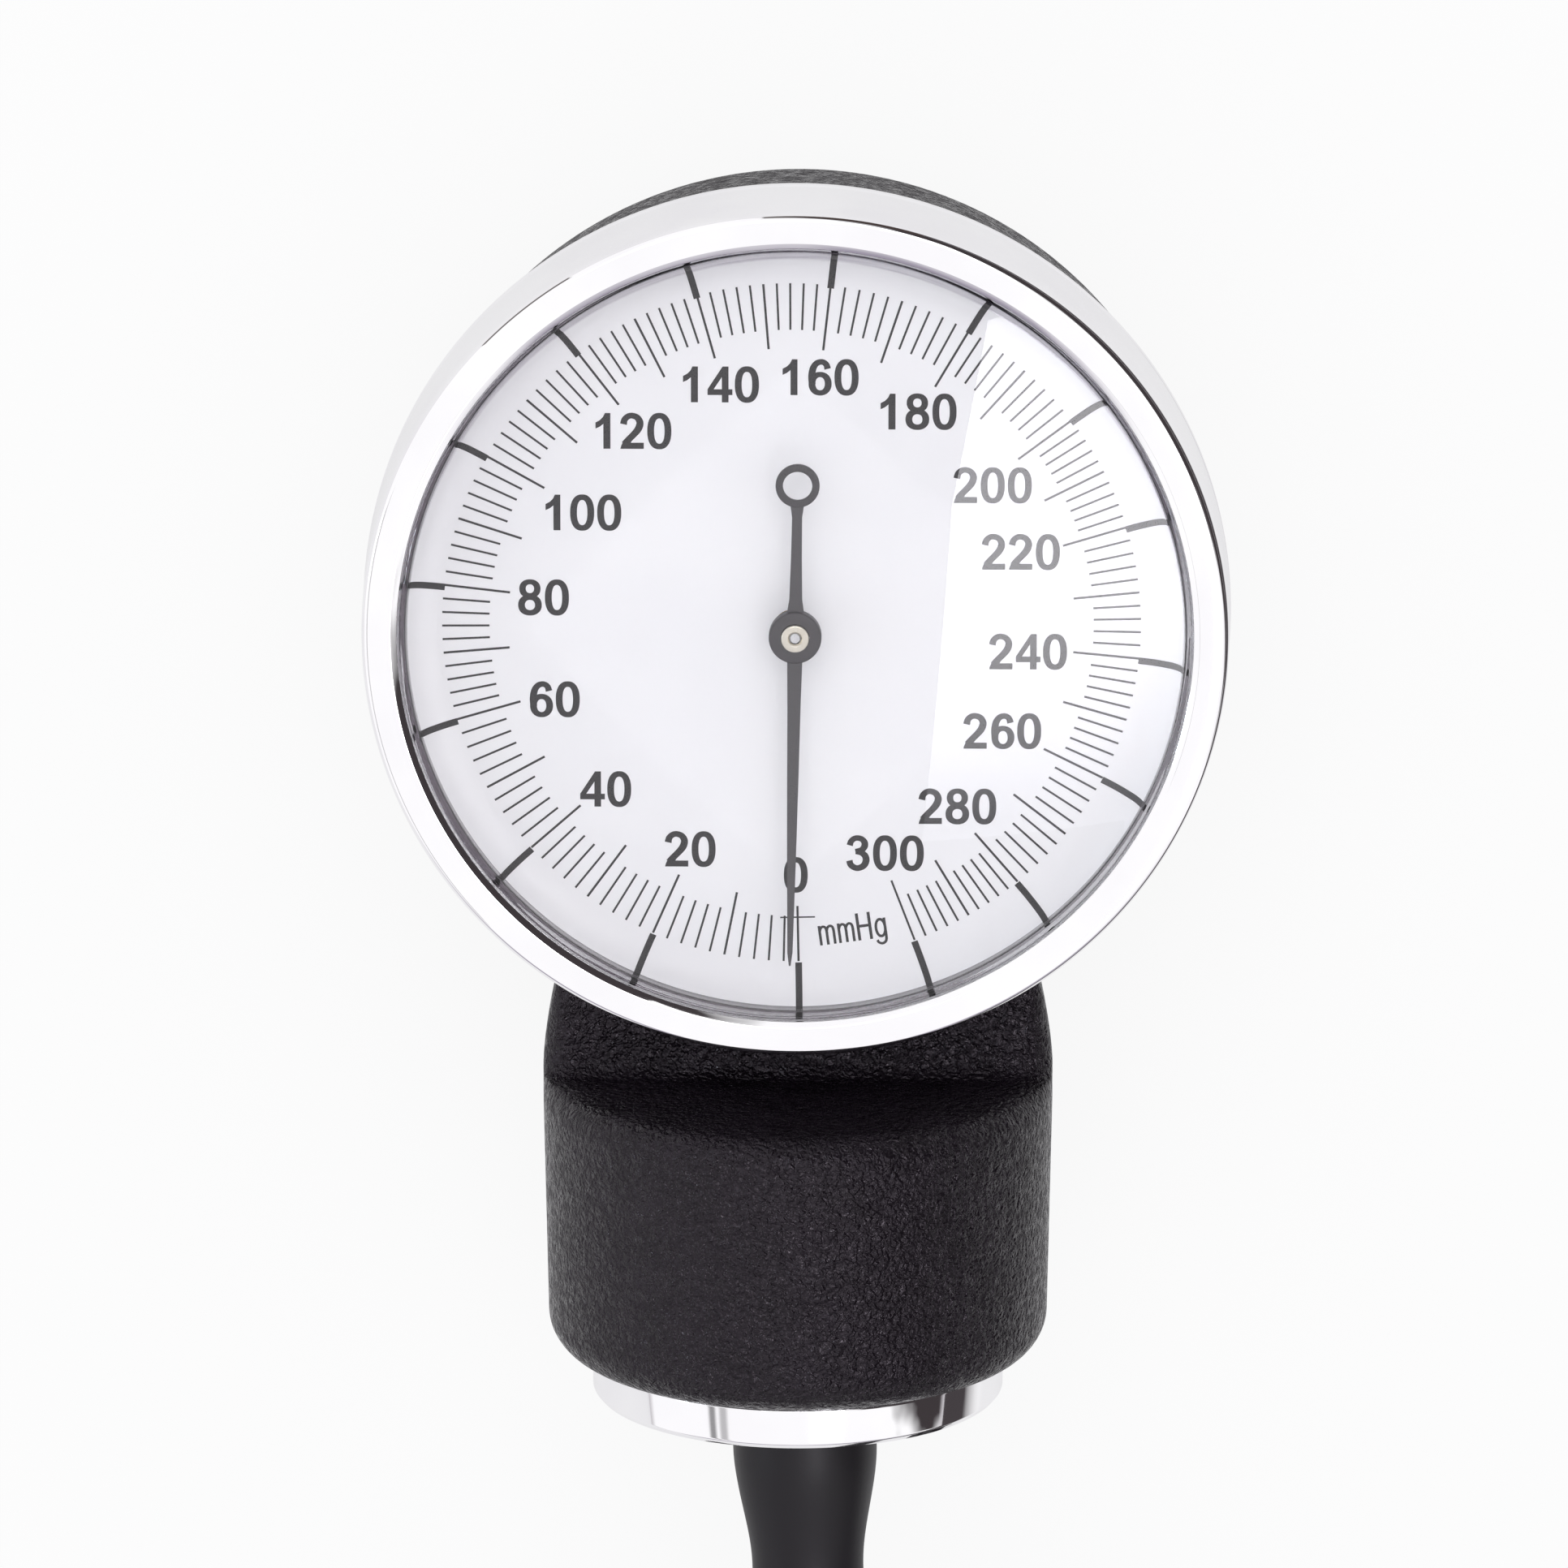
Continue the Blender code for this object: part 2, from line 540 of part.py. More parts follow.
def build_case():
    case = place("case", neck_and_base(), "textured_black")
    cut(case, place("case_neck_trim", neck_trim(), at=(0, DIAL_Y, 0)))
    add(case, place("case_drum", drum(), at=(0, DIAL_Y, 0)))
    root = DRUM_FLOOR - EMBED
    boss_top = BACK_PLATE_TOP - PLATE_THICKNESS - SEAT
    for number, (x, y) in enumerate(movement_screw_places(), 1):
        add(case, place(f"case_boss_{number}", rod(BOSS_RADIUS, root, boss_top), at=(x, along(y), 0)))
    pad_top = DRUM_BACK + CLIP_SCREW_LENGTH + CLIP_PAD_FLOOR
    for number, (x, y) in enumerate(clip_screw_places(), 1):
        add(case, place(f"case_pad_{number}", rod(BOSS_RADIUS, root, pad_top), at=(x, along(y), 0)))
    room = rod(CAPSULE_ROOM_RADIUS, BASE_FOOT - OVERRUN, CAPSULE_CEILING, ROUND_SIDES)
    cut(case, laid("case_capsule_room", room))
    channel_top = NECK_FRONT - NECK_FRONT_WALL
    low = (-CHANNEL_WIDTH / 2, along(BASE_TOP), channel_top - CHANNEL_DEPTH)
    high = (CHANNEL_WIDTH / 2, along(-DRUM_ROOM_RADIUS + CASE_WALL), channel_top)
    cut(case, place("case_channel", block(low, high)))
    cut(case, laid("case_guide_hole", rod(GUIDE_RADIUS + SEAT, CAPSULE_CEILING - OVERRUN, BASE_TOP + OVERRUN)))
    bore_floor = boss_top + PLATE_THICKNESS - SCREW_LENGTH - SCREW_BORE_SPARE
    for number, (x, y) in enumerate(movement_screw_places(), 1):
        bore = rod(SCREW_RADIUS + SEAT, bore_floor, boss_top + OVERRUN)
        cut(case, place(f"case_boss_bore_{number}", bore, at=(x, along(y), 0)))
    for number, (x, y) in enumerate(clip_screw_places(), 1):
        bore = rod(SCREW_RADIUS + SEAT, DRUM_BACK - OVERRUN, DRUM_BACK + CLIP_SCREW_LENGTH)
        cut(case, place(f"case_pad_bore_{number}", bore, at=(x, along(y), 0)))
    weld = case.modifiers.new("weld", "WELD")
    weld.merge_threshold = MERGE


# Bezel, gasket, lens and dial

def build_bezel():
    front_radius = BEZEL_RADIUS - BEZEL_TAPER
    edge = arc((front_radius - BEZEL_EDGE_ROUND, BEZEL_FRONT - BEZEL_EDGE_ROUND), BEZEL_EDGE_ROUND,
               pi / 2, 0, 3)
    roll = arc((BEZEL_RADIUS - BEZEL_EDGE_ROUND, BEZEL_BACK + BEZEL_EDGE_ROUND), BEZEL_EDGE_ROUND, 0, -pi / 2, 2)
    grip_radius = DRUM_RADIUS + SEAT
    lip_low = BEZEL_FRONT - BEZEL_LIP
    outline = [(BEZEL_OPENING_RADIUS, lip_low), (BEZEL_OPENING_RADIUS, BEZEL_FRONT - BEZEL_LIP / 3),
               (BEZEL_OPENING_RADIUS + BEZEL_LIP / 3, BEZEL_FRONT)]
    outline += edge + roll
    outline += [(grip_radius, BEZEL_BACK), (grip_radius, FLANGE_BOTTOM - SEAT),
                (BEZEL_INNER_RADIUS, FLANGE_BOTTOM - SEAT), (BEZEL_INNER_RADIUS, lip_low)]
    place("bezel_ring", turned(outline, ROUND_SIDES), "chrome", (0, DIAL_Y, 0))


def build_lens_gasket():
    outer = FLANGE_RADIUS - SEAT
    shape = tube(outer - GASKET_WIDTH, outer, GASKET_TOP - GASKET_THICKNESS, GASKET_TOP, COVERED_SIDES)
    place("lens_gasket", shape, "black_rubber", (0, DIAL_Y, 0))


def build_lens():
    """A shallow dome with a flat rim. Its two faces are arcs with the rise at the middle."""
    edge = BEZEL_OPENING_RADIUS - SEAT
    ball = (edge ** 2 + LENS_RISE ** 2) / (2 * LENS_RISE)
    half = acos((ball - LENS_RISE) / ball)
    steps = 4
    outer = [(ball * sin(half * s / steps), LENS_TOP + LENS_RISE - ball * (1 - cos(half * s / steps)))
             for s in range(steps + 1)]
    sag = LENS_THICKNESS - LENS_RIM
    inner = [(radius, height - LENS_THICKNESS + sag * (radius / edge) ** 2) for radius, height in outer]
    outline = outer + [(LENS_RADIUS, LENS_TOP), (LENS_RADIUS, LENS_SEAT)] + inner[::-1]
    place("lens", turned(outline, COVERED_SIDES), "clear_lens", (0, DIAL_Y, 0))


def dial_curve(radius_from, radius_to, low, high, steps=3):
    """Quarter ellipse from the dial's flat face up to its wall."""
    return [(radius_from + (radius_to - radius_from) * sin(pi / 2 * s / steps),
             low + (high - low) * (1 - cos(pi / 2 * s / steps))) for s in range(steps + 1)]


def build_dial():
    flange_radius = FLANGE_RADIUS - SEAT
    shoulder = DIAL_FLANGE_TOP - DIAL_THICKNESS
    face = dial_curve(DIAL_FLAT_RADIUS, DIAL_WALL_RADIUS, DIAL_FACE, DIAL_FLANGE_TOP)
    back = dial_curve(DIAL_FLAT_RADIUS, DIAL_WALL_RADIUS + DIAL_THICKNESS, DIAL_FACE - DIAL_THICKNESS, shoulder)
    outline = [(DIAL_HOLE_RADIUS, DIAL_FACE)] + face + [(flange_radius, DIAL_FLANGE_TOP), (flange_radius, shoulder)]
    outline += back[::-1] + [(DIAL_HOLE_RADIUS, DIAL_FACE - DIAL_THICKNESS)]
    place("dial", turned(outline, COVERED_SIDES), "white_enamel", (0, DIAL_Y, 0))


# Pointer

def build_pointer():
    """The blade points down the dial at rest, turned by its rest angle, with a ring on its tail."""
    turn = (0, 0, -POINTER_REST)
    here = (0, DIAL_Y, 0)
    top = BLADE_BOTTOM + POINTER_THICKNESS
    tail_end = TAIL_LENGTH - TAIL_RING_RADIUS + TAIL_RING_WALL / 2
    blade = [
        (POINTER_ROOT_WIDTH / 2, 0), (TAIL_WIDTH / 2, tail_end), (-TAIL_WIDTH / 2, tail_end),
        (-POINTER_ROOT_WIDTH / 2, 0), (-POINTER_TIP_WIDTH / 2, -POINTER_LENGTH),
        (POINTER_TIP_WIDTH / 2, -POINTER_LENGTH),
    ]
    pointer = place("pointer", plate(blade, BLADE_BOTTOM, top), "pointer_black", here, turn)
    hub = rod(HUB_RADIUS, HUB_TOP - HUB_THICKNESS, HUB_TOP, HUB_SIDES)
    add(pointer, place("pointer_hub", hub, at=here, turn=turn))
    extra = (TAIL_RING_THICKNESS - POINTER_THICKNESS) / 2
    ring = tube(TAIL_RING_RADIUS - TAIL_RING_WALL, TAIL_RING_RADIUS, BLADE_BOTTOM - extra, top + extra, HUB_SIDES)
    ring_at = Matrix.Rotation(-POINTER_REST, 3, "Z") @ Vector((0, TAIL_LENGTH, 0))
    add(pointer, place("pointer_ring", ring, at=(ring_at.x, along(ring_at.y), 0), turn=turn))
    hole = rod(BUSH_RADIUS + SEAT, HUB_TOP - HUB_THICKNESS - OVERRUN, HUB_TOP + OVERRUN, HUB_SIDES)
    cut(pointer, place("pointer_hole", hole, at=here, turn=turn))


def build_pointer_bush():
    shape = turned([
        (ARBOR_TIP_RADIUS + SEAT, BUSH_TOP - BUSH_LENGTH), (BUSH_RADIUS, BUSH_TOP - BUSH_LENGTH),
        (BUSH_RADIUS, BUSH_TOP - SEAT), (BUSH_RADIUS - SEAT, BUSH_TOP),
        (ARBOR_TIP_RADIUS + SEAT, BUSH_TOP),
    ], HUB_SIDES)
    place("pointer_bush", shape, "brass", (0, DIAL_Y, 0), (0, 0, -POINTER_REST))


def build_pointer_arbor():
    shoulder = BUSH_TOP - BUSH_LENGTH - SEAT
    shape = turned([
        (0, BACK_PLATE_TOP - PLATE_THICKNESS - ARBOR_END), (ARBOR_RADIUS, BACK_PLATE_TOP - PLATE_THICKNESS - ARBOR_END),
        (ARBOR_RADIUS, shoulder), (ARBOR_TIP_RADIUS, shoulder),
        (ARBOR_TIP_RADIUS, BUSH_TOP - BUSH_PROUD), (0, BUSH_TOP - BUSH_PROUD),
    ], SMALL_SIDES)
    place("pointer_arbor", shape, "steel", (0, DIAL_Y, 0), (0, 0, -POINTER_REST))


# Gears

def involute_half_tooth(radius, pitch_radius, teeth):
    """Half of a tooth's angle at a radius, thinned by the backlash."""
    base = pitch_radius * cos(PRESSURE_ANGLE)

    def spread(at):
        slope = acos(min(1, base / at))
        return tan(slope) - slope

    half_at_pitch = pi / teeth / 2 - GEAR_BACKLASH / 2 / pitch_radius
    return half_at_pitch + spread(pitch_radius) - spread(max(radius, base))


def tooth_points(middle, pitch_radius, teeth, root, tip):
    """A tooth's outline from its clockwise root to its other root, about the gear's centre."""
    flank = [root + (tip - root) * share for share in FLANK_SHARES]
    halves = [(radius, involute_half_tooth(radius, pitch_radius, teeth)) for radius in flank]
    ordered = [(r, -h) for r, h in halves] + [(r, h) for r, h in halves[::-1]]
    return [(r * cos(middle + h), r * sin(middle + h)) for r, h in ordered]


def build_pinion():
    tip = PINION_PITCH + GEAR_MODULE * PINION_ADDENDUM_SHARE
    root = PINION_PITCH - GEAR_MODULE * DEDENDUM_SHARE
    step = 2 * pi / PINION_TEETH
    # At mid-scale a gap faces the sector, and the pinion has turned back by GEAR_RATIO times its turn since
    facing = MESH_LINE + pi + step / 2
    turned_by = -GEAR_RATIO * REST_TURN
    outline = []
    for number in range(PINION_TEETH):
        outline += tooth_points(facing + turned_by + number * step, PINION_PITCH, PINION_TEETH, root, tip)
    low = AXIS - PINION_THICKNESS / 2
    pinion = place("pinion", plate(outline, low, low + PINION_THICKNESS), "brass", (0, DIAL_Y, 0))
    bore = rod(ARBOR_RADIUS + SEAT, low - OVERRUN, low + PINION_THICKNESS + OVERRUN)
    cut(pinion, place("pinion_bore", bore, at=(0, DIAL_Y, 0)))


def sector_outline():
    """The toothed rim, two sides of the spoke and the lever, about the pivot, at mid-scale."""
    tip = SECTOR_PITCH + GEAR_MODULE * SECTOR_ADDENDUM_SHARE
    root = SECTOR_PITCH - GEAR_MODULE * DEDENDUM_SHARE
    step = 2 * pi / SECTOR_TEETH_ROUND
    side = ceil(POINTER_SWING / 2 / GEAR_RATIO / step) + 1
    outline = []
    for number in range(-side, side + 1):
        outline += tooth_points(MESH_LINE + number * step, SECTOR_PITCH, SECTOR_TEETH_ROUND, root, tip)
    rim_end = (side + 0.5) * step
    inner = root - SECTOR_RIM
    outline.append((root * cos(MESH_LINE + rim_end), root * sin(MESH_LINE + rim_end)))
    outline += arc((0, 0), inner, MESH_LINE + rim_end, MESH_LINE + SECTOR_SPOKE / 2 / inner, 4)
    outline.insert(0, (root * cos(MESH_LINE - rim_end), root * sin(MESH_LINE - rim_end)))
    hub_half = atan2(SECTOR_SPOKE / 2, SECTOR_HUB_RADIUS) * 0.8
    lever_root = atan2(LEVER_WIDTH, SECTOR_HUB_RADIUS)
    outline += arc((0, 0), SECTOR_HUB_RADIUS, MESH_LINE + hub_half, 2 * pi, 9)
    reach = LEVER_ARM + LEVER_OVERHANG
    outline += [(reach, 0), (reach, LEVER_WIDTH)]
    outline += arc((0, 0), SECTOR_HUB_RADIUS * 1.2, lever_root, MESH_LINE - hub_half, 2)[1:]
    outline += arc((0, 0), inner, MESH_LINE - SECTOR_SPOKE / 2 / inner, MESH_LINE - rim_end, 4)
    return outline


def build_sector():
    low = AXIS - SECTOR_THICKNESS / 2
    at = (PIVOT_X, along(PIVOT_Y), 0)
    turn = (0, 0, REST_TURN)
    sector = place("sector_gear", plate(sector_outline(), low, low + SECTOR_THICKNESS), "brass", at, turn)
    bore = rod(SECTOR_ARBOR_RADIUS + SEAT, low - OVERRUN, low + SECTOR_THICKNESS + OVERRUN)
    cut(sector, place("sector_bore", bore, at=at, turn=turn))
    low_end = BACK_PLATE_TOP - PLATE_THICKNESS - ARBOR_END
    arbor = rod(SECTOR_ARBOR_RADIUS, low_end, FRONT_PLATE_TOP + ARBOR_END)
    place("sector_arbor", arbor, "steel", at, turn)


# Movement frame

def hull_of_circles(centres, radius, steps):
    """Outline round a set of circles: their corners' arcs, joined by straight lines, anticlockwise."""
    middle = (sum(x for x, y in centres) / len(centres), sum(y for x, y in centres) / len(centres))
    ordered = sorted(centres, key=lambda c: atan2(c[1] - middle[1], c[0] - middle[0]))
    outline = []
    for before, here, after in zip(ordered[-1:] + ordered[:-1], ordered, ordered[1:] + ordered[:1]):
        start = atan2(here[1] - before[1], here[0] - before[0]) - pi / 2
        end = atan2(after[1] - here[1], after[0] - here[0]) - pi / 2
        while end < start:
            end += 2 * pi
        outline += arc(here, radius, start, end, steps)
    return outline


def plate_hole(target, name, x, y, radius, low, high):
    cut(target, place(name, rod(radius, low - OVERRUN, high + OVERRUN), at=(x, along(y), 0)))


def build_back_plate():
    low = BACK_PLATE_TOP - PLATE_THICKNESS
    reach = acos(BACK_PLATE_FLAT_SHARE)
    outline = arc((0, 0), BACK_PLATE_RADIUS, -pi / 2 + reach, 3 * pi / 2 - reach, CAPSULE_SIDES)
    back = place("back_plate", plate(outline, low, BACK_PLATE_TOP), "brass", (0, DIAL_Y, 0))
    for number, (x, y) in enumerate(movement_screw_places(), 1):
        plate_hole(back, f"back_plate_screw_hole_{number}", x, y, SCREW_RADIUS + RUN, low, BACK_PLATE_TOP)
    for number, (x, y) in enumerate(pillar_places(), 1):
        plate_hole(back, f"back_plate_pillar_hole_{number}", x, y, PILLAR_SPIGOT_RADIUS + SEAT, low, BACK_PLATE_TOP)
    plate_hole(back, "back_plate_pointer_pivot", 0, 0, ARBOR_RADIUS + RUN, low, BACK_PLATE_TOP)
    plate_hole(back, "back_plate_sector_pivot", PIVOT_X, PIVOT_Y, SECTOR_ARBOR_RADIUS + RUN, low, BACK_PLATE_TOP)


def build_front_plate():
    low = FRONT_PLATE_TOP - PLATE_THICKNESS
    outline = hull_of_circles(pillar_places() + [(PIVOT_X, PIVOT_Y)], FRONT_PLATE_MARGIN, 6)
    front = place("front_plate", plate(outline, low, FRONT_PLATE_TOP), "brass", (0, DIAL_Y, 0))
    for number, (x, y) in enumerate(pillar_places(), 1):
        plate_hole(front, f"front_plate_screw_hole_{number}", x, y, SCREW_RADIUS + RUN, low, FRONT_PLATE_TOP)
    plate_hole(front, "front_plate_pointer_pivot", 0, 0, ARBOR_RADIUS + RUN, low, FRONT_PLATE_TOP)
    plate_hole(front, "front_plate_sector_pivot", PIVOT_X, PIVOT_Y, SECTOR_ARBOR_RADIUS + RUN, low, FRONT_PLATE_TOP)


def build_pillars():
    low, high = PLATE_GAP_LOW + SEAT, PLATE_GAP_HIGH - SEAT
    bore = SCREW_RADIUS + SEAT
    for number, (x, y) in enumerate(pillar_places(), 1):
        outline = [
            (0, low - PLATE_THICKNESS), (PILLAR_SPIGOT_RADIUS, low - PLATE_THICKNESS),
            (PILLAR_SPIGOT_RADIUS, low), (PILLAR_RADIUS, low), (PILLAR_RADIUS, high), (bore, high),
            (bore, high - PILLAR_BORE_DEPTH), (0, high - PILLAR_BORE_DEPTH),
        ]
        place(f"pillar_{number}", turned(outline, SMALL_SIDES), "brass", (x, along(y), 0))


# Screws

def screw(name, x, y, face, length, upwards=True):
    """A slotted cheese-head screw. Its head sits on the face at the given height, on the outer side."""
    under = SEAT
    top = under + SCREW_HEAD_HEIGHT
    outline = [(0, -length), (SCREW_RADIUS, -length), (SCREW_RADIUS, under), (SCREW_HEAD_RADIUS, under),
               (SCREW_HEAD_RADIUS, top), (0, top)]
    at = (x, along(y), face)
    turn = None if upwards else (pi, 0, 0)
    made = place(name, turned(outline, SMALL_SIDES), "steel", at, turn)
    half = SCREW_SLOT_WIDTH / 2
    wide = SCREW_HEAD_RADIUS + OVERRUN
    slot = block((-wide, -half, top - SCREW_SLOT_DEPTH), (wide, half, top + OVERRUN))
    cut(made, place(name + "_slot", slot, at=at, turn=turn))


def build_screws():
    for number, (x, y) in enumerate(pillar_places(), 1):
        screw(f"plate_screw_{number}", x, y, FRONT_PLATE_TOP, SCREW_LENGTH)
    for number, (x, y) in enumerate(movement_screw_places(), 1):
        screw(f"movement_screw_{number}", x, y, BACK_PLATE_TOP, SCREW_LENGTH)
    for number, (x, y) in enumerate(clip_screw_places(), 1):
        face = DRUM_BACK - SEAT - CLIP_SHEET
        screw(f"clip_screw_{number}", x, y, face, CLIP_SCREW_LENGTH, upwards=False)


# Hairspring

def build_hairspring():
    """A flat spiral strip from the collet out to its stud."""
    start = COLLET_RADIUS + SPRING_STRIP / 2 + SEAT
    count = SPRING_TURNS * SPRING_POINTS
    shape = bmesh.new()
    rings = []
    for step in range(count + 1):
        share = step / count
        angle = 2 * pi * SPRING_TURNS * share
        middle = start + (SPRING_RADIUS - start) * share
        corners = [(middle + s * SPRING_STRIP / 2, SPRING_LEVEL + u * SPRING_HEIGHT / 2)
                   for s, u in ((-1, -1), (1, -1), (1, 1), (-1, 1))]
        rings.append([shape.verts.new((r * cos(angle), r * sin(angle), z)) for r, z in corners])
    for before, after in zip(rings, rings[1:]):
        for side in range(4):
            other = (side + 1) % 4
            shape.faces.new((before[side], before[other], after[other], after[side]))
    shape.faces.new(rings[0])
    shape.faces.new(rings[-1][::-1])
    place("hairspring", shape, "bronze_sheet", (0, DIAL_Y, 0))
    collet = tube(ARBOR_RADIUS + SEAT, COLLET_RADIUS, SPRING_LEVEL - COLLET_HEIGHT / 2,
                  SPRING_LEVEL + COLLET_HEIGHT / 2)
    place("hairspring_collet", collet, "brass", (0, DIAL_Y, 0), (0, 0, -POINTER_REST))
    stud_x = SPRING_RADIUS + SPRING_STRIP / 2 + SEAT + STUD_RADIUS
    stud = rod(STUD_RADIUS, SPRING_LEVEL - SPRING_HEIGHT / 2, PLATE_GAP_HIGH - SEAT, SMALL_SIDES)
    place("hairspring_stud", stud, "brass", (stud_x, DIAL_Y, 0))


# Capsule, rod and guide

def diaphragm_faces(side):
    """Height of a diaphragm's middle sheet, from the capsule's middle plane, at radii from its eye outwards."""
    points = []
    flat = CAPSULE_RADIUS - CAPSULE_RIM
    start = CAPSULE_EYE_RADIUS
    steps = CAPSULE_WAVES * 3
    for step in range(steps + 1):
        share = step / steps
        radius = start + (flat - start) * share
        bulge = CAPSULE_BULGE * (1 - share ** 3)
        wave = CAPSULE_WAVE * sin(2 * pi * CAPSULE_WAVES * share) * (1 - share)
        points.append((radius, side * (bulge + wave + CAPSULE_SHEET / 2 + SEAT)))
    return points


def diaphragm(name, side, eye):
    """A waved dish with a flat rim. The eye is the radius of its hole."""
    half = CAPSULE_SHEET / 2
    sheet = diaphragm_faces(side)
    sheet.append((CAPSULE_RADIUS, side * (half + SEAT)))
    sheet.insert(0, (eye, sheet[0][1]))
    outline = [(r, h - half) for r, h in sheet] + [(r, h + half) for r, h in sheet[::-1]]
    laid(name, turned([(r, CAPSULE_MIDDLE + h) for r, h in outline], CAPSULE_SIDES), "bronze_sheet")


def capsule_reach():
    """From the capsule's middle plane to a diaphragm's outer face at its middle."""
    return CAPSULE_BULGE + CAPSULE_SHEET + SEAT


def build_capsule():
    diaphragm("upper_diaphragm", 1, 0)
    diaphragm("lower_diaphragm", -1, STEM_RADIUS + SEAT)


def rod_tip():
    """Top of the push rod at rest, from the dial's centre: just under the sector's lever."""
    middle = PIVOT_Y - ROD_RADIUS - ROD_TIP_GAP
    return middle + ROD_RADIUS + LEVER_ARM * rod_slope() * REST_TURN


def rod_slope():
    """The rod's travel for each radian of the sector, as a share of the lever's arm: it follows the tangent."""
    half = POINTER_SWING / 2 / GEAR_RATIO
    return tan(half) / half


def build_push_rod():
    foot = CAPSULE_MIDDLE + capsule_reach() + SEAT
    tip = rod_tip()
    dome = arc((0, tip - ROD_RADIUS), ROD_RADIUS, 0, pi / 2, 4)
    outline = [(0, foot), (ROD_FOOT_RADIUS, foot), (ROD_FOOT_RADIUS, foot + ROD_FOOT_HEIGHT),
               (ROD_RADIUS, foot + ROD_FOOT_HEIGHT)] + dome[:-1] + [(0, tip)]
    laid("push_rod", turned(outline, SMALL_SIDES), "steel")


def build_rod_guide():
    """A flanged bush in the wall between the capsule's room and the neck."""
    inner = ROD_RADIUS + RUN
    low = CAPSULE_CEILING - SEAT - GUIDE_FLANGE_HEIGHT
    outline = [(inner, low), (GUIDE_FLANGE_RADIUS, low), (GUIDE_FLANGE_RADIUS, CAPSULE_CEILING - SEAT),
               (GUIDE_RADIUS, CAPSULE_CEILING - SEAT), (GUIDE_RADIUS, BASE_TOP - SEAT), (inner, BASE_TOP - SEAT)]
    laid("rod_guide", turned(outline, SMALL_SIDES), "brass")


# Base cap, seal and stem

def build_base_cap():
    """A chromed disc that closes the capsule's room. Its hub holds the stem."""
    spigot = CAPSULE_ROOM_RADIUS - SEAT
    top = CAP_FACE + CAP_HEIGHT
    groove_low = top + (CAP_SPIGOT_HEIGHT - SEAL_SECTION) / 2
    groove_high = groove_low + SEAL_SECTION
    groove = spigot - SEAL_SECTION
    room_floor = top + CAP_FLOOR
    wall = groove - SEAL_SECTION
    bore = STEM_RADIUS + SEAT
    edge = arc((CAP_RADIUS - CAP_EDGE_ROUND, CAP_FACE + CAP_EDGE_ROUND), CAP_EDGE_ROUND, -pi / 2, 0, 2)
    upper = arc((CAP_RADIUS - CAP_EDGE_ROUND, top - CAP_EDGE_ROUND), CAP_EDGE_ROUND, 0, pi / 2, 2)
    outline = [(bore, CAP_FACE)] + edge + upper + [
        (spigot, top), (spigot, groove_low), (groove, groove_low), (groove, groove_high), (spigot, groove_high),
        (spigot, top + CAP_SPIGOT_HEIGHT), (wall, top + CAP_SPIGOT_HEIGHT), (wall, room_floor),
        (CAP_HUB_RADIUS, room_floor), (CAP_HUB_RADIUS, room_floor + CAP_FLOOR),
        (bore, room_floor + CAP_FLOOR),
    ]
    laid("base_cap", turned(outline, COVERED_SIDES), "chrome")
    seal = tube(groove + SEAT, spigot, groove_low + SEAT, groove_high - SEAT, COVERED_SIDES)
    laid("base_seal", seal, "black_rubber")


def build_stem():
    """A hollow stem from the lower diaphragm through the cap, with barbs that hold the hose."""
    top = CAPSULE_MIDDLE - SEAT - CAPSULE_SHEET
    shank_low = CAP_FACE - SEAT - STEM_COLLAR_HEIGHT
    outline = [(STEM_BORE_RADIUS, STEM_END), (STEM_RADIUS - STEM_BARB, STEM_END), (STEM_RADIUS, STEM_END + STEM_NOSE)]
    low = STEM_END + STEM_NOSE
    for number in range(STEM_BARBS):
        start = low + number * STEM_BARB_LENGTH
        outline += [(STEM_RADIUS + STEM_BARB, start + STEM_BARB_LENGTH - SEAT), (STEM_RADIUS, start + STEM_BARB_LENGTH)]
    outline += [
        (STEM_RADIUS, shank_low), (STEM_COLLAR_RADIUS, shank_low), (STEM_COLLAR_RADIUS, CAP_FACE - SEAT),
        (STEM_RADIUS, CAP_FACE - SEAT), (STEM_RADIUS, top), (STEM_BORE_RADIUS, top),
    ]
    laid("barbed_stem", turned(outline, FITTING_SIDES), "chrome")


# Clip

def build_clip():
    """A strip bent back on itself: a plate on the drum's back and a tongue that lies on the surface."""
    plate_top = DRUM_BACK - SEAT
    plate_low = plate_top - CLIP_SHEET
    outer = plate_top / 2
    inner = outer - CLIP_SHEET
    bend = CLIP_TOP - outer
    outside = arc((bend, outer), outer, pi / 2, -pi / 2, CLIP_BEND_POINTS)
    inside = arc((bend, outer), inner, -pi / 2, pi / 2, CLIP_BEND_POINTS)
    outline = [(CLIP_FOOT, plate_low), (CLIP_FOOT, plate_top)] + outside + [
        (TONGUE_FOOT, 0), (TONGUE_FOOT, CLIP_SHEET - TONGUE_BEVEL),
        (TONGUE_FOOT + 2 * TONGUE_BEVEL, CLIP_SHEET)] + inside
    # The outline is drawn in X and Y, then stood up so that it runs along Y and the strip's width along X
    shape = plate(outline[::-1], -CLIP_WIDTH / 2, CLIP_WIDTH / 2)
    stand = Matrix(((0, 0, 1), (1, 0, 0), (0, 1, 0))).to_4x4()
    bmesh.ops.transform(shape, verts=shape.verts, matrix=stand)
    clip = place("cuff_clip", shape, "chrome", (0, DIAL_Y, 0))
    for number, (x, y) in enumerate(clip_screw_places(), 1):
        plate_hole(clip, f"clip_hole_{number}", x, y, SCREW_RADIUS + RUN, plate_low, plate_top)


# Hose

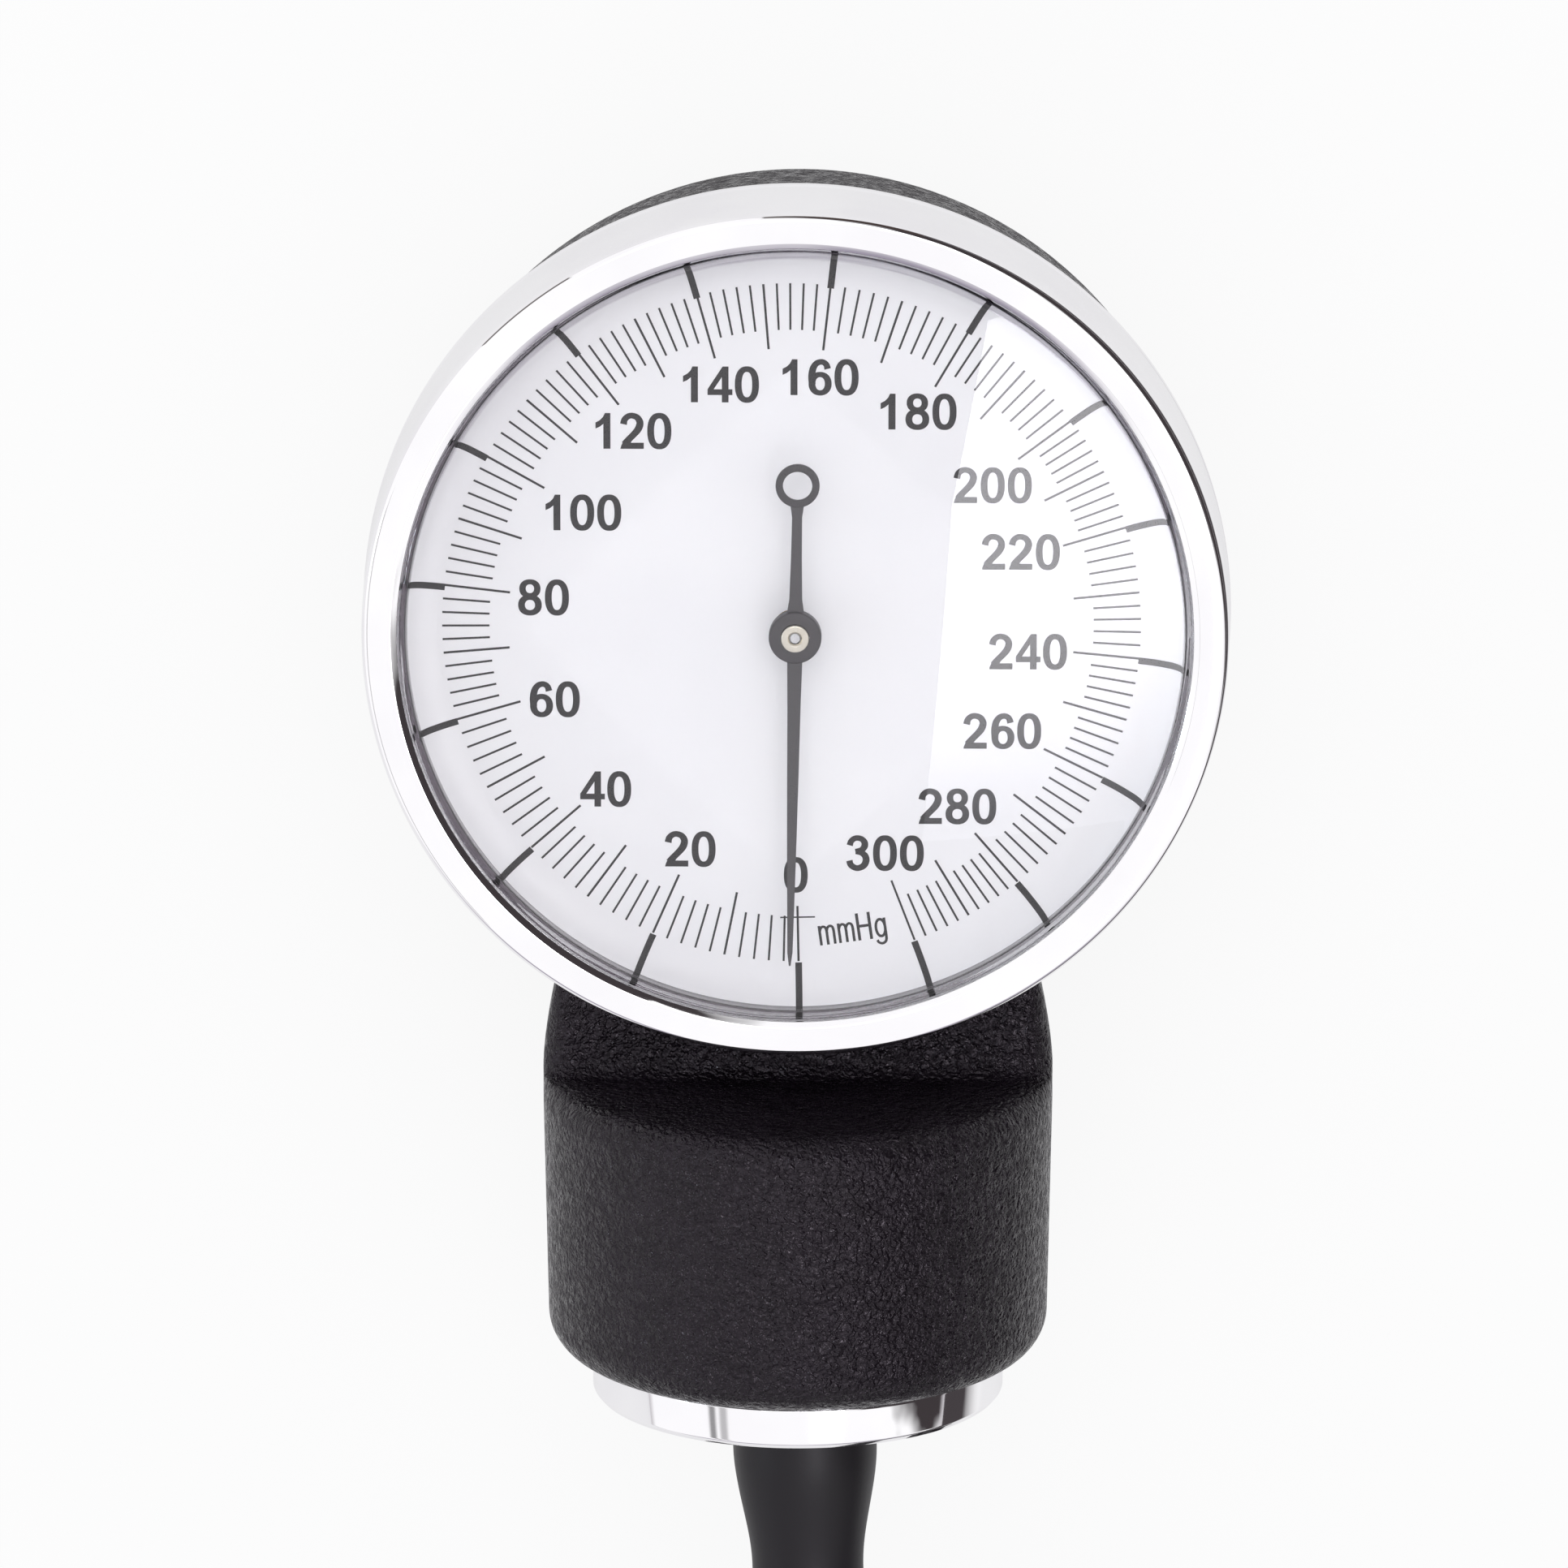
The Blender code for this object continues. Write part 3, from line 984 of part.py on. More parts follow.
def build_hose_flare():
    """The hose's own end, stretched over the stem's barbs."""
    start = CAP_FACE - SEAT - STEM_COLLAR_HEIGHT - SEAT
    end = CAP_FACE - HOSE_FLARE_LENGTH
    wide, slim = HOSE_FLARE_DIAMETER / 2, HOSE_DIAMETER / 2
    bend = CAP_FACE - HOSE_FLARE_STRAIGHT
    steps = HOSE_FLARE_POINTS
    outer = [(wide - (wide - slim) * ease(s / steps), bend + (end - bend) * s / steps) for s in range(steps + 1)]
    bore = STEM_RADIUS + STEM_BARB + SEAT
    stop = STEM_END - SEAT
    outline = [(bore, start), (wide - SEAT, start)] + outer + [(0, end), (0, stop), (bore, stop)]
    laid("hose_flared_end", turned(outline, HUB_SIDES), "hose_black")


def pulled(ends, share):
    """A point on the soft line between two ends, each with the point that it pulls towards."""
    start, leaving, joining, end = ends
    first, middle, last = (a.lerp(b, share) for a, b in ((start, leaving), (leaving, joining), (joining, end)))
    return first.lerp(middle, share).lerp(middle.lerp(last, share), share)


def hose_points():
    """The hose's middle line past its flared end: a free run, a coil that winds outwards, and a straight end."""
    start = Vector((0, along(CAP_FACE - HOSE_FLARE_LENGTH - HOSE_JOIN), 0))
    leave = start - Vector((0, HOSE_EXIT_STRAIGHT, 0))
    middle = Vector((COIL_SIDE, along(COIL_MIDDLE), 0))
    growth = COIL_PITCH / (2 * pi)
    coil = []
    for step in range(COIL_STEPS + 1):
        angle = 2 * pi * step / COIL_POINTS
        radius = COIL_INNER_RADIUS + growth * angle
        coil.append(middle - Vector((radius * cos(angle), radius * sin(angle), 0)))
    joining = Vector((-growth, -COIL_INNER_RADIUS, 0)).normalized()
    heading = Vector((radius * sin(angle) - growth * cos(angle), -radius * cos(angle) - growth * sin(angle), 0))
    heading.normalize()
    way = (coil[0] - leave).length
    aside = leave - Vector((0, way * RUN_LEAVE_SHARE, 0))
    ends = (leave, aside, coil[0] - joining * way * RUN_JOIN_SHARE, coil[0])
    points = [start] + [pulled(ends, step / RUN_STEPS) for step in range(RUN_STEPS)]
    points += coil + [coil[-1] + heading * COIL_END_STRAIGHT]
    set_heights(points)
    return points, heading


def set_heights(points):
    """Brings the hose down to the surface along its way, and up a little at its end."""
    ground = HOSE_DIAMETER / 2 + HOSE_GROUND
    climb = LUER_SKIRT_RADIUS + LUER_GRIP_HEIGHT - HOSE_DIAMETER / 2
    steps = [0] + [(b - a).length for a, b in zip(points, points[1:])]
    left = sum(steps)
    travelled = -HOSE_EXIT_STRAIGHT
    for point, step in zip(points, steps):
        travelled += step
        left -= step
        fall = ease(max(0, min(1, travelled / HOSE_FALL)))
        rise = ease(max(0, min(1, 1 - (left - COIL_END_STRAIGHT) / COIL_RISE)))
        point.z = AXIS + (ground - AXIS) * fall + climb * rise


def hose_tube(name, points, ring_detail, finish="hose_black"):
    curve = bpy.data.curves.new(name, "CURVE")
    curve.dimensions = "3D"
    curve.bevel_depth = HOSE_DIAMETER / 2
    curve.bevel_resolution = ring_detail
    curve.use_fill_caps = True
    curve.twist_mode = "Z_UP"
    line = curve.splines.new("POLY")
    line.points.add(len(points) - 1)
    for target, point in zip(line.points, points):
        target.co = (*point, 1)
    curve.materials.append(finish_of(finish))
    thing = bpy.data.objects.new(name, curve)
    bpy.context.scene.collection.objects.link(thing)
    return thing


def least_gap(points, diameter):
    """Least gap of a tube to itself, between points of neighbouring turns."""
    skip = COIL_POINTS // 2
    pairs = [(a, b) for i, a in enumerate(points) for b in points[i + skip:]]
    return min((a - b).length for a, b in pairs) - diameter


def build_hose():
    build_hose_flare()
    points, heading = hose_points()
    length = sum((b - a).length for a, b in zip(points, points[1:]))
    print(f"hose length {length / MM:.1f} mm, least gap {least_gap(points, HOSE_DIAMETER) / MM:.2f} mm")
    apart = RUN_STEPS_APART + 1
    split = points[apart]
    ahead = (points[apart + 1] - points[apart - 1]).normalized() * HOSE_JOIN / 2
    hose_tube("hose_run", points[:apart] + [split - ahead], 2)
    hose_tube("hose_coil", [split + ahead] + points[apart + 1:], 1)
    build_luer(points[-1], heading)


def build_luer(end, heading):
    """A luer lock connector in one piece: flange, neck, ribbed skirt and tapered spigot."""
    turn = heading.to_track_quat("Z", "X").to_euler()
    at = end + heading * HOSE_JOIN
    neck_end = LUER_FLANGE_LENGTH + LUER_NECK_LENGTH
    shoulder = neck_end + LUER_SKIRT_WALL
    skirt_end = neck_end + LUER_SKIRT_LENGTH
    tip = shoulder + LUER_SPIGOT_LENGTH
    hollow = LUER_SKIRT_RADIUS - LUER_SKIRT_WALL
    outline = [
        (LUER_BORE_RADIUS, 0), (LUER_FLANGE_RADIUS, 0), (LUER_FLANGE_RADIUS, LUER_FLANGE_LENGTH),
        (LUER_NECK_RADIUS, LUER_FLANGE_LENGTH), (LUER_NECK_RADIUS, neck_end), (LUER_SKIRT_RADIUS, shoulder),
        (LUER_SKIRT_RADIUS, skirt_end), (hollow, skirt_end), (hollow, shoulder),
        (LUER_SPIGOT_RADIUS + LUER_SPIGOT_LENGTH * LUER_SPIGOT_SLOPE, shoulder), (LUER_SPIGOT_RADIUS, tip),
        (LUER_BORE_RADIUS, tip),
    ]
    luer = place("luer_connector", turned(outline, FITTING_SIDES), "black_nylon", at, turn)
    low = (LUER_SKIRT_RADIUS - LUER_SKIRT_WALL / 2, -LUER_GRIP_WIDTH / 2, shoulder + LUER_GRIP_HEIGHT)
    high = (LUER_SKIRT_RADIUS + LUER_GRIP_HEIGHT, LUER_GRIP_WIDTH / 2, skirt_end - LUER_GRIP_HEIGHT)
    grips = bmesh.new()
    for number in range(LUER_GRIPS):
        rib = block(low, high)
        rib.transform(Matrix.Rotation(2 * pi * (number + 0.5) / LUER_GRIPS, 4, "Z"))
        piece = bpy.data.meshes.new("rib")
        rib.to_mesh(piece)
        rib.free()
        grips.from_mesh(piece)
        bpy.data.meshes.remove(piece)
    add(luer, place("luer_grips", grips, at=at, turn=turn))


def main():
    clear_scene()
    build_case()
    build_bezel()
    build_lens_gasket()
    build_lens()
    build_dial()
    build_pointer()
    build_pointer_bush()
    build_pointer_arbor()
    build_pinion()
    build_sector()
    build_back_plate()
    build_front_plate()
    build_pillars()
    build_screws()
    build_hairspring()
    build_capsule()
    build_push_rod()
    build_rod_guide()
    build_base_cap()
    build_stem()
    build_clip()
    build_hose()


main()
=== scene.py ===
from math import acos, cos, pi, radians, sin, sqrt, tan

import bmesh
import bpy
from mathutils import Matrix, Vector


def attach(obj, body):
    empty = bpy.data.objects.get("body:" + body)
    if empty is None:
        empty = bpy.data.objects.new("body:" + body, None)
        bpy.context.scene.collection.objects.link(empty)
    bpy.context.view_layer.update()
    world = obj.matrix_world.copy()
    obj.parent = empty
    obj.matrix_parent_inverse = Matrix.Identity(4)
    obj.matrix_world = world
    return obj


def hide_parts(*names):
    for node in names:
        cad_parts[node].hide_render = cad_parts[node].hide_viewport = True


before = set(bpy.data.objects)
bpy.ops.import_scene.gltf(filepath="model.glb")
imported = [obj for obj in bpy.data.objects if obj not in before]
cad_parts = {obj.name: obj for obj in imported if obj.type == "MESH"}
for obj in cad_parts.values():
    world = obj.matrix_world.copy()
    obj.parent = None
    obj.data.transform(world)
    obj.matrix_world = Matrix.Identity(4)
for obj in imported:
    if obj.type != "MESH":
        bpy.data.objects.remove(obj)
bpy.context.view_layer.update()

MM = 0.001

# Places shared with the solids: the dial's centre, and the height of the base's axis
DIAL_Y = 18.475 * MM
AXIS = 17.9 * MM
BEZEL_FRONT = 31.4 * MM
FLANGE_BOTTOM = 22.8 * MM
FLANGE_TOP = 26.9 * MM
DIAL_FACE = 27.45 * MM
DIAL_FLANGE = 29.35 * MM
LENS_TOP = 30.8 * MM
BLADE_BOTTOM = 30.05 * MM
HUB_TOP = 30.7 * MM
BUSH_TOP = 30.95 * MM
DRUM_BACK = 6.0 * MM
BASE_TOP = -34.6 * MM
BASE_FOOT = -54.9 * MM
CAP_FACE = -57.95 * MM
POINTER_REST = radians(0.9)

HOUSING = "housing"
POINTER_BODY = "pointer_assembly"


# Finishes

class Value:
    """A socket of a finish, which can be added, multiplied and compared like a number."""

    def __init__(self, finish, socket):
        self.finish = finish
        self.socket = socket

    def maths(self, operation, first, second):
        return self.finish.node("Math", {"operation": operation}, {0: first, 1: second})

    def __add__(self, other):
        return self.maths("ADD", self, other)

    def __sub__(self, other):
        return self.maths("SUBTRACT", self, other)

    def __rsub__(self, other):
        return self.maths("SUBTRACT", other, self)

    def __mul__(self, other):
        return self.maths("MULTIPLY", self, other)

    def __gt__(self, other):
        return self.maths("GREATER_THAN", self, other)

    __radd__ = __add__
    __rmul__ = __mul__

    def ramp(self, low, high, start=0.0, end=1.0):
        """Goes from start to end while this value goes from low to high."""
        return self.finish.node("MapRange", {}, {0: self, 1: low, 2: high, 3: start, 4: end})


class Finish:
    """A material or world in the making."""

    def __init__(self, name, owner=None):
        self.made = owner or bpy.data.materials.new(name)
        self.made.use_nodes = True
        self.tree = self.made.node_tree
        self.tree.nodes.clear()

    def node(self, kind, settings=None, inputs=None, out=0):
        """Adds a node: its settings first, then the values or links of its sockets."""
        made = self.tree.nodes.new("ShaderNode" + kind)
        for name, value in (settings or {}).items():
            setattr(made, name, value)
        for name, value in (inputs or {}).items():
            socket = made.inputs[name]
            if isinstance(value, Value):
                self.tree.links.new(value.socket, socket)
            elif hasattr(value, "__len__") and socket.type == "RGBA":
                socket.default_value = (*value, 1)
            else:
                socket.default_value = value
        return Value(self, made.outputs[out]) if made.outputs else None

    def places(self, stretch=(1, 1, 1)):
        """The object's own coordinates, in millimetres, stretched."""
        here = self.node("TexCoord", out="Object")
        scale = tuple(s / MM for s in stretch)
        return self.node("Mapping", {}, {"Vector": here, "Scale": scale})

    def part(self, where, number):
        """One number of a place: 0 is across, 1 along and 2 up."""
        return self.node("SeparateXYZ", {}, {0: where}, out=number)

    def ray(self, kind):
        """1 for the rays of one kind, and 0 for all others."""
        return self.node("LightPath", out=f"Is {kind} Ray")

    def noise(self, where, size, detail=2.0, rough=0.5):
        """Soft noise from 0 to 1, with features about size millimetres across."""
        return self.node("TexNoise", {}, {
            "Vector": where, "Scale": 1 / size, "Detail": detail, "Roughness": rough})

    def cells(self, where, size, feature="F1", rounding=0.0):
        """Small cells about size millimetres across: 0 in the middle of each, and more toward its edge."""
        inputs = {"Vector": where, "Scale": 1 / size}
        if feature == "SMOOTH_F1":
            inputs["Smoothness"] = rounding
        return self.node("TexVoronoi", {"feature": feature}, inputs)

    def between(self, share, first, second):
        """A colour between two, by a share."""
        return self.node("Mix", {"data_type": "RGBA"}, {0: share, 6: first, 7: second}, out=2)

    def bump(self, height, distance, strength=1.0):
        """A slight relief, as deep as the distance where the height goes from 0 to 1."""
        return self.node("Bump", {}, {"Height": height, "Distance": distance, "Strength": strength})

    def glow(self, colour, strength=1.0):
        return self.node("Emission", {}, {"Color": colour, "Strength": strength})

    def mixed(self, share, first, second):
        """A shader between two, by a share."""
        return self.node("MixShader", {}, {0: share, 1: first, 2: second})

    def shaded(self, **inputs):
        """The main shader, straight into the output. Words in a name are joined by underscores."""
        sockets = {name.replace("_", " "): value for name, value in inputs.items()}
        return self.out(self.node("BsdfPrincipled", {}, sockets))

    def out(self, shader):
        self.node("OutputMaterial", {}, {"Surface": shader})
        return self.made


def chrome():
    """Polished plating: a slow waviness, and hairlines that only show where it mirrors something dark."""
    look = Finish("polished_chrome")
    where = look.places()
    smear = look.noise(where, 9.0, 3.0)
    hair = look.noise(look.places((0.25, 4.0, 1.0)), 0.6, 4.0, 0.6)
    rough = smear.ramp(0.35, 0.7, 0.035, 0.06) + hair.ramp(0.6, 0.8, 0.0, 0.03)
    tint = look.between(smear.ramp(0.4, 0.65), (0.97, 0.965, 0.975), (0.93, 0.92, 0.94))
    wave = look.bump(look.noise(where, 6.0, 1.0), 0.004 * MM)
    return look.shaded(Base_Color=tint, Metallic=1.0, Roughness=rough, Normal=wave)


def pebbled_black():
    """Moulded shell with a fine leather grain. The tops of its small raised grains are painted lighter, as
    painted glints.
    """
    look = Finish("pebbled_black")
    where = look.places()
    drift = look.node("TexNoise", {}, {"Vector": where, "Scale": 1.3, "Detail": 2.0}, out="Color")
    bent = look.node("VectorMath", {"operation": "MULTIPLY_ADD"}, {0: drift, 1: (0.9, 0.9, 0.9), 2: where})
    grains = look.cells(bent, 0.42, "SMOOTH_F1", 0.2)
    small = look.cells(bent, 0.2)
    ridges = look.noise(bent, 0.25, 2.0, 0.6)
    height = (1 - grains) + (1 - small) * 0.4 + ridges * 0.5
    blotch = look.noise(where, 3.0, 3.0)
    colour = look.between(blotch.ramp(0.3, 0.7), (0.0055, 0.0035, 0.006), (0.0115, 0.008, 0.0125))
    # Painted glints: the tops of the raised grains are painted lighter
    painted_glint_colour = look.between(height.ramp(1.25, 1.7) * 0.6, colour, (0.05, 0.042, 0.053))
    gloss = look.noise(where, 0.7, 3.0, 0.6)
    rough = gloss.ramp(0.4, 0.6, 0.42, 0.13)
    return look.shaded(
        Base_Color=painted_glint_colour, Roughness=rough, Normal=look.bump(height, 0.2 * MM), Specular_IOR_Level=0.27,
        Specular_Tint=(1.0, 0.9, 1.0))


def clear_lens():
    """Clear acrylic, with a dark band on its inner wall at its foot, and painted shade on the roll at its
    edge: grey in streaks, greyer toward the top.
    """
    look = Finish("clear_lens")
    middle = look.node("VectorMath", {"operation": "SUBTRACT"}, {0: look.places(), 1: (0, DIAL_Y / MM, 0)})
    level = look.node("VectorMath", {"operation": "MULTIPLY"}, {0: middle, 1: (1, 1, 0)})
    radius = look.node("VectorMath", {"operation": "LENGTH"}, {0: level}, out="Value")
    across, along, up = (look.part(middle, number) for number in range(3))
    rim = LENS_TOP / MM
    lines = look.node("CombineXYZ", {}, {0: radius * 7, 1: across * 0.12, 2: along * 0.12})
    streak = look.noise(lines, 1.0)
    roll = radius.ramp(26.55, 26.7) * (up > rim - 0.5)
    wall = radius.ramp(26.6, 26.66) * radius.ramp(26.77, 26.81, 1.0, 0.0)
    wall = wall * up.ramp(rim - 0.8, rim - 0.7, 1.0, 0.0)
    # Painted shade on the roll at the lens's edge, in streaks and stronger toward the top
    roll_shade = roll * (along.ramp(-6, 16, 0.2, 0.85) + streak.ramp(0.5, 0.7, -0.1, 0.35))
    tone = look.between(roll_shade, (1, 1, 1), (0.42, 0.39, 0.45))
    tone = look.between(wall, tone, (0.045, 0.035, 0.045))
    smear = look.noise(look.places(), 7.0)
    return look.shaded(
        Base_Color=tone, Roughness=smear.ramp(0.55, 0.8, 0.0, 0.006), IOR=1.42, Transmission_Weight=1.0)


def enamel():
    """White dial card with a trace of lavender and a faint paper tooth."""
    look = Finish("white_enamel")
    where = look.places()
    cloud = look.noise(where, 14.0)
    tooth = look.noise(where, 0.12)
    colour = look.between(cloud.ramp(0.35, 0.7), (0.915, 0.905, 0.93), (0.88, 0.87, 0.9))
    return look.shaded(
        Base_Color=colour, Roughness=tooth.ramp(0.3, 0.7, 0.42, 0.5),
        Normal=look.bump(tooth, 0.004 * MM, 0.4))


def ink():
    """Printed charcoal, a little uneven."""
    look = Finish("printed_charcoal")
    where = look.places()
    cloud = look.noise(where, 0.35, 3.0, 0.6)
    colour = look.between(cloud.ramp(0.35, 0.75), (0.008, 0.0055, 0.0085), (0.016, 0.012, 0.017))
    return look.shaded(Base_Color=colour, Roughness=cloud.ramp(0.3, 0.7, 0.5, 0.65), Specular_IOR_Level=0.25)


def pointer_black():
    """Satin black lacquer with a fine speck."""
    look = Finish("pointer_lacquer")
    where = look.places()
    speck = look.noise(where, 0.15)
    colour = look.between(speck, (0.022, 0.017, 0.023), (0.034, 0.028, 0.036))
    return look.shaded(
        Base_Color=colour, Roughness=speck.ramp(0.3, 0.7, 0.38, 0.55),
        Normal=look.bump(speck, 0.006 * MM, 0.5))


def metal(name, light, dark, low, high, grain=0.6):
    """A bare metal with a fine drawn grain."""
    look = Finish(name)
    drawn = look.noise(look.places((1.0, 0.12, 1.0)), grain, 3.0, 0.6)
    cloud = look.noise(look.places(), 3.0)
    colour = look.between(cloud.ramp(0.3, 0.7), light, dark)
    return look.shaded(
        Base_Color=colour, Metallic=1.0, Roughness=drawn.ramp(0.3, 0.75, low, high),
        Normal=look.bump(drawn, 0.006 * MM, 0.5))


def hose_rubber():
    """Smooth black tubing with a soft bloom and faint lines along it."""
    look = Finish("hose_rubber")
    where = look.places()
    bloom = look.noise(where, 11.0, 3.0)
    skin = look.noise(where, 0.35, 3.0, 0.6)
    colour = look.between(bloom.ramp(0.3, 0.7), (0.006, 0.004, 0.007), (0.0095, 0.0072, 0.0115))
    return look.shaded(
        Base_Color=colour, Roughness=bloom.ramp(0.3, 0.7, 0.40, 0.5) + skin * 0.05,
        Normal=look.bump(skin, 0.012 * MM, 0.5), Specular_IOR_Level=0.3)


def moulded(name, light, dark, low, high, size=0.5):
    """A plain moulded plastic or rubber."""
    look = Finish(name)
    where = look.places()
    skin = look.noise(where, size, 3.0, 0.6)
    cloud = look.noise(where, 6.0)
    colour = look.between(cloud.ramp(0.3, 0.7), light, dark)
    return look.shaded(
        Base_Color=colour, Roughness=skin.ramp(0.3, 0.75, low, high),
        Normal=look.bump(skin, 0.02 * MM, 0.6))


CHROME = chrome()
SHELL = pebbled_black()
LENS = clear_lens()
ENAMEL = enamel()
INK = ink()
POINTER_PAINT = pointer_black()
BRASS = metal("brass", (0.72, 0.54, 0.26), (0.6, 0.43, 0.2), 0.22, 0.36)
NICKEL = metal("nickel_bush", (0.78, 0.74, 0.66), (0.64, 0.59, 0.5), 0.16, 0.28, 0.2)
BRONZE = metal("spring_bronze", (0.6, 0.36, 0.2), (0.5, 0.29, 0.16), 0.28, 0.42)
STEEL = metal("steel", (0.62, 0.62, 0.63), (0.5, 0.5, 0.52), 0.2, 0.34)
HOSE = hose_rubber()
SEAL = moulded("seal_rubber", (0.02, 0.018, 0.021), (0.032, 0.03, 0.034), 0.5, 0.65)
NYLON = moulded("black_nylon", (0.018, 0.018, 0.02), (0.03, 0.03, 0.033), 0.34, 0.48, 0.3)


# Shapes

def placed(name, data):
    made = bpy.data.objects.new(name, data)
    bpy.context.scene.collection.objects.link(made)
    return made


def dressed(name, mesh, finish, body=HOUSING, replaced=(), sharp=32, at=(0, 0, 0), turn=None):
    """Makes a piece from a mesh, smooth but for its sharp edges, and lets it ride on its body."""
    mesh.name = name
    mesh.materials.clear()
    mesh.materials.append(finish)
    mesh.shade_smooth()
    mesh.set_sharp_from_angle(angle=radians(sharp))
    made = placed(name, mesh)
    made.matrix_world = Matrix.LocRotScale(at, turn, (1, 1, 1))
    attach(made, body)
    if replaced:
        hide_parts(*replaced)
    return made


def bevelled(piece, width, segments):
    """Breaks a piece's sharp edges."""
    edge = piece.modifiers.new("edge", "BEVEL")
    edge.width = width
    edge.segments = segments
    edge.limit_method = "ANGLE"
    edge.angle_limit = radians(50)


def mesh_of(shape):
    bmesh.ops.recalc_face_normals(shape, faces=shape.faces)
    mesh = bpy.data.meshes.new("shape")
    shape.to_mesh(mesh)
    shape.free()
    return mesh


def arc(middle, radius, start, end, steps):
    """Points of a round arc from one angle to another."""
    angles = [start + (end - start) * step / steps for step in range(steps + 1)]
    return [(middle[0] + radius * cos(a), middle[1] + radius * sin(a)) for a in angles]


def ease(share):
    """A share from 0 to 1 that starts and ends softly."""
    return share * share * (3 - 2 * share)


def smooth_line(points, steps):
    """More points on a soft curve through the given ones."""
    ends = [points[0] * 2 - points[1]] + list(points) + [points[-1] * 2 - points[-2]]
    line = []
    for a, b, c, d in zip(ends, ends[1:], ends[2:], ends[3:]):
        for step in range(steps):
            t = step / steps
            line.append(0.5 * ((2 * b) + (c - a) * t + (2 * a - 5 * b + 4 * c - d) * t ** 2
                               + (3 * b - a - 3 * c + d) * t ** 3))
    line.append(points[-1])
    return line


def filleted(corners, steps=5):
    """A closed outline from corners of (across, up, fillet radius), all in millimetres."""
    points = []
    count = len(corners)
    for number, (x, y, fillet) in enumerate(corners):
        here = Vector((x, y))
        if not fillet:
            points.append(here * MM)
            continue
        before = (Vector(corners[number - 1][:2]) - here).normalized()
        after = (Vector(corners[(number + 1) % count][:2]) - here).normalized()
        half = acos(max(-1, min(1, before.dot(after)))) / 2
        start = here + before * fillet / tan(half)
        end = here + after * fillet / tan(half)
        middle = here + (before + after).normalized() * fillet / sin(half)
        first, last = start - middle, end - middle
        swing = first.angle_signed(last)
        for step in range(steps + 1):
            turned_by = Matrix.Rotation(-swing * step / steps, 2)
            points.append((middle + turned_by @ first) * MM)
    return [tuple(point) for point in points]


def bridge(shape, low, high):
    """Joins two closed rings of points by faces. Corners that are one point count once."""
    for side, start in enumerate(low):
        after = (side + 1) % len(low)
        corners = dict.fromkeys((start, low[after], high[after], high[side]))
        if len(corners) > 2:
            shape.faces.new(corners)


def turned(outline, sides):
    """Turns a closed outline of (radius, height) about Z. Points on the axis become one point."""
    shape = bmesh.new()
    rings = []
    for radius, height in outline:
        if radius < 1e-7:
            rings.append([shape.verts.new((0, 0, height))] * sides)
            continue
        angles = [2 * pi * side / sides for side in range(sides)]
        rings.append([shape.verts.new((radius * cos(a), radius * sin(a), height)) for a in angles])
    for low, high in zip(rings, rings[1:] + rings[:1]):
        bridge(shape, low, high)
    return shape


def plate(outline, low, high):
    """A flat outline of (x, y) points made into a plate between two heights."""
    shape = bmesh.new()
    bottom = [shape.verts.new((x, y, low)) for x, y in outline]
    top = [shape.verts.new((x, y, high)) for x, y in outline]
    shape.faces.new(bottom[::-1])
    shape.faces.new(top)
    bridge(shape, bottom, top)
    return shape


def block(middle, size):
    """A plain block about its middle."""
    shape = bmesh.new()
    bmesh.ops.create_cube(shape, size=1)
    shape.transform(Matrix.LocRotScale(middle, None, size))
    return shape


def rod(radius, low, high, sides=96):
    """A solid cylinder about Z between two heights."""
    return turned([(0, low), (radius, low), (radius, high), (0, high)], sides)


def moved(shape, at=(0, 0, 0), turn=None):
    shape.transform(Matrix.LocRotScale(Vector(at), turn, (1, 1, 1)))
    return shape


def join(shape, piece):
    """Adds a finished shape to another, as one more loose part of it."""
    mesh = bpy.data.meshes.new("joined")
    piece.to_mesh(mesh)
    piece.free()
    shape.from_mesh(mesh)
    bpy.data.meshes.remove(mesh)


ADD, CUT = "UNION", "DIFFERENCE"


def combined(base, steps):
    """Adds shapes to a base or cuts them from it. steps holds pairs of ADD or CUT and a shape."""
    start = placed("base", mesh_of(base))
    tools = []
    for operation, shape in steps:
        tool = placed("tool", mesh_of(shape))
        step = start.modifiers.new("step", "BOOLEAN")
        step.operation = operation
        step.solver = "EXACT"
        step.object = tool
        tools.append(tool)
    made = bpy.context.evaluated_depsgraph_get()
    made.update()
    mesh = bpy.data.meshes.new_from_object(start.evaluated_get(made), depsgraph=made)
    for thing in [start] + tools:
        bpy.data.objects.remove(thing)
    return mesh


LAID = Matrix.Rotation(-pi / 2, 3, "X").to_quaternion()


def laid(shape):
    """Lays a shape that was turned about Z along +Y, at the base's axis."""
    return moved(shape, (0, DIAL_Y, AXIS), LAID)


# Camera

TILT = radians(15)
YAW = radians(1)
DISTANCE = 0.8


def set_camera():
    """Straight above the head but for a slight lean, so that the bezel's upper side shows."""
    level = 29.5 * MM
    toward = Vector((tan(YAW), tan(TILT), 1)).normalized()
    aim = Vector((-0.78 * MM, DIAL_Y - 10.73 * MM, level))
    across = Vector((0, 1, 0)).cross(toward).normalized()
    up = toward.cross(across)
    lens = bpy.data.cameras.new("camera")
    lens.sensor_width = 36
    lens.lens = 266.8
    lens.clip_start = 0.01
    made = placed("camera", lens)
    place = Matrix((across, up, toward)).transposed().to_4x4()
    place.translation = aim + toward * DISTANCE
    made.matrix_world = place
    bpy.context.scene.camera = made


# Hose

HOSE_RADIUS = 3.95 * MM
HOSE_START = CAP_FACE - 13.5 * MM
HOSE_LEAVE = CAP_FACE - 14.5 * MM
COIL_CENTRE = Vector((12.7585 * MM, -116.995 * MM, 0))
COIL_INNER_RADIUS = 32.3 * MM
COIL_PITCH = 8.532 * MM
COIL_TURNS = 43 / 24
HOSE_FALL = 111.435 * MM
HOSE_RISE = 60 * MM
COIL_END = 8.2 * MM


